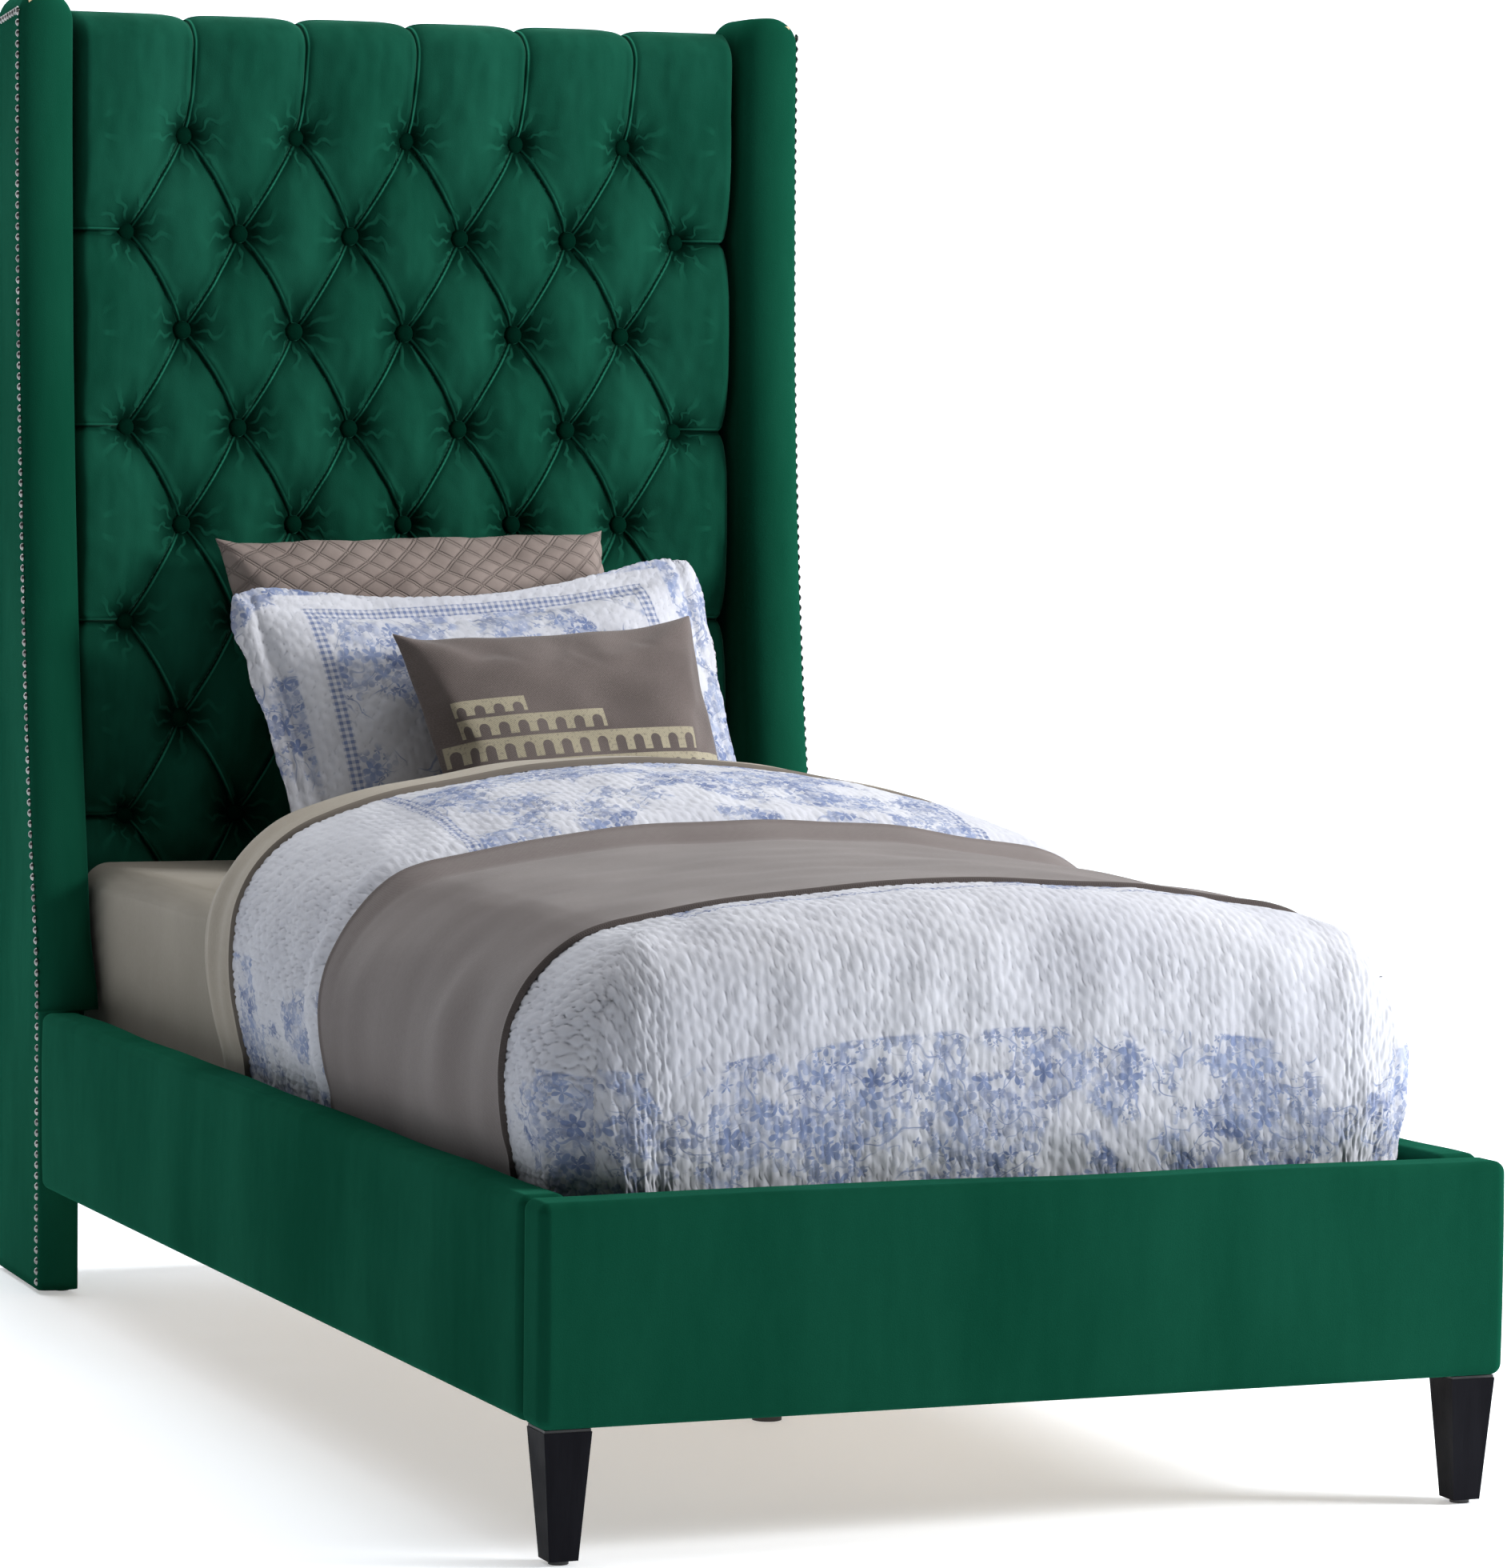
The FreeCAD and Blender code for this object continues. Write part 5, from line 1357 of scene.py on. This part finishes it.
def softbox(name, place, target, size, power):
    light = bpy.data.lights.new(name, "AREA")
    light.shape = "RECTANGLE"
    light.size, light.size_y = size
    light.energy = power
    made = bpy.data.objects.new(name, light)
    scene.collection.objects.link(made)
    place, target = np.array(place, float), np.array(target, float)
    back = (place - target) / np.linalg.norm(place - target)
    side = np.cross((0, 0, 1), back)
    side = side / np.linalg.norm(side)
    made.matrix_world = matrix_of([side, np.cross(back, side), back], place)


def dim_world():
    world = bpy.data.worlds.new("studio")
    scene.world = world
    world.use_nodes = True
    sky = world.node_tree.nodes["Background"]
    sky.inputs["Color"].default_value = (1, 1, 1, 1)
    sky.inputs["Strength"].default_value = 0.055
    scene.view_settings.view_transform = "Standard"


def place_camera():
    yaw, pitch, roll = CAMERA_YAW, CAMERA_PITCH, CAMERA_ROLL
    ahead = np.array([math.sin(yaw) * math.cos(pitch), math.cos(yaw) * math.cos(pitch), math.sin(pitch)])
    level = np.array([math.cos(yaw), -math.sin(yaw), 0.0])
    upright = np.cross(level, ahead)
    right = level * math.cos(roll) + upright * math.sin(roll)
    up = upright * math.cos(roll) - level * math.sin(roll)
    lens = bpy.data.cameras.new("camera")
    lens.sensor_width = 36.0
    lens.lens = 134.46
    lens.clip_end = 60
    camera = bpy.data.objects.new("camera", lens)
    camera.matrix_world = matrix_of([right, up, -ahead], CAMERA_PLACE)
    scene.collection.objects.link(camera)
    scene.camera = camera


def studio():
    paper_floor()
    softbox("key", (4.1, -2.7, 2.1), (0.0, 0.6, 0.9), (1.3, 1.3), 335)
    softbox("top", (0.9, -0.6, 5.2), (0.0, -0.2, 0.0), (4.0, 4.0), 145)
    softbox("backdrop", (0.0, 3.4, 8.0), (0.0, 8.0, 1.0), (10.0, 3.0), 620)
    dim_world()
    place_camera()


tufted_panel()
tuft_buttons()
wing(-1, "wing_cover_left", "wing_pad_left")
wing(1, "wing_cover_right", "wing_pad_right")
rails()
back_cloth()
mattress()
fitted_sheet()
comforter()
quilt()
throw()
flat_sheet()
back_pillow()
sham_pillow()
front_pillow()
finish_cad()
studio()
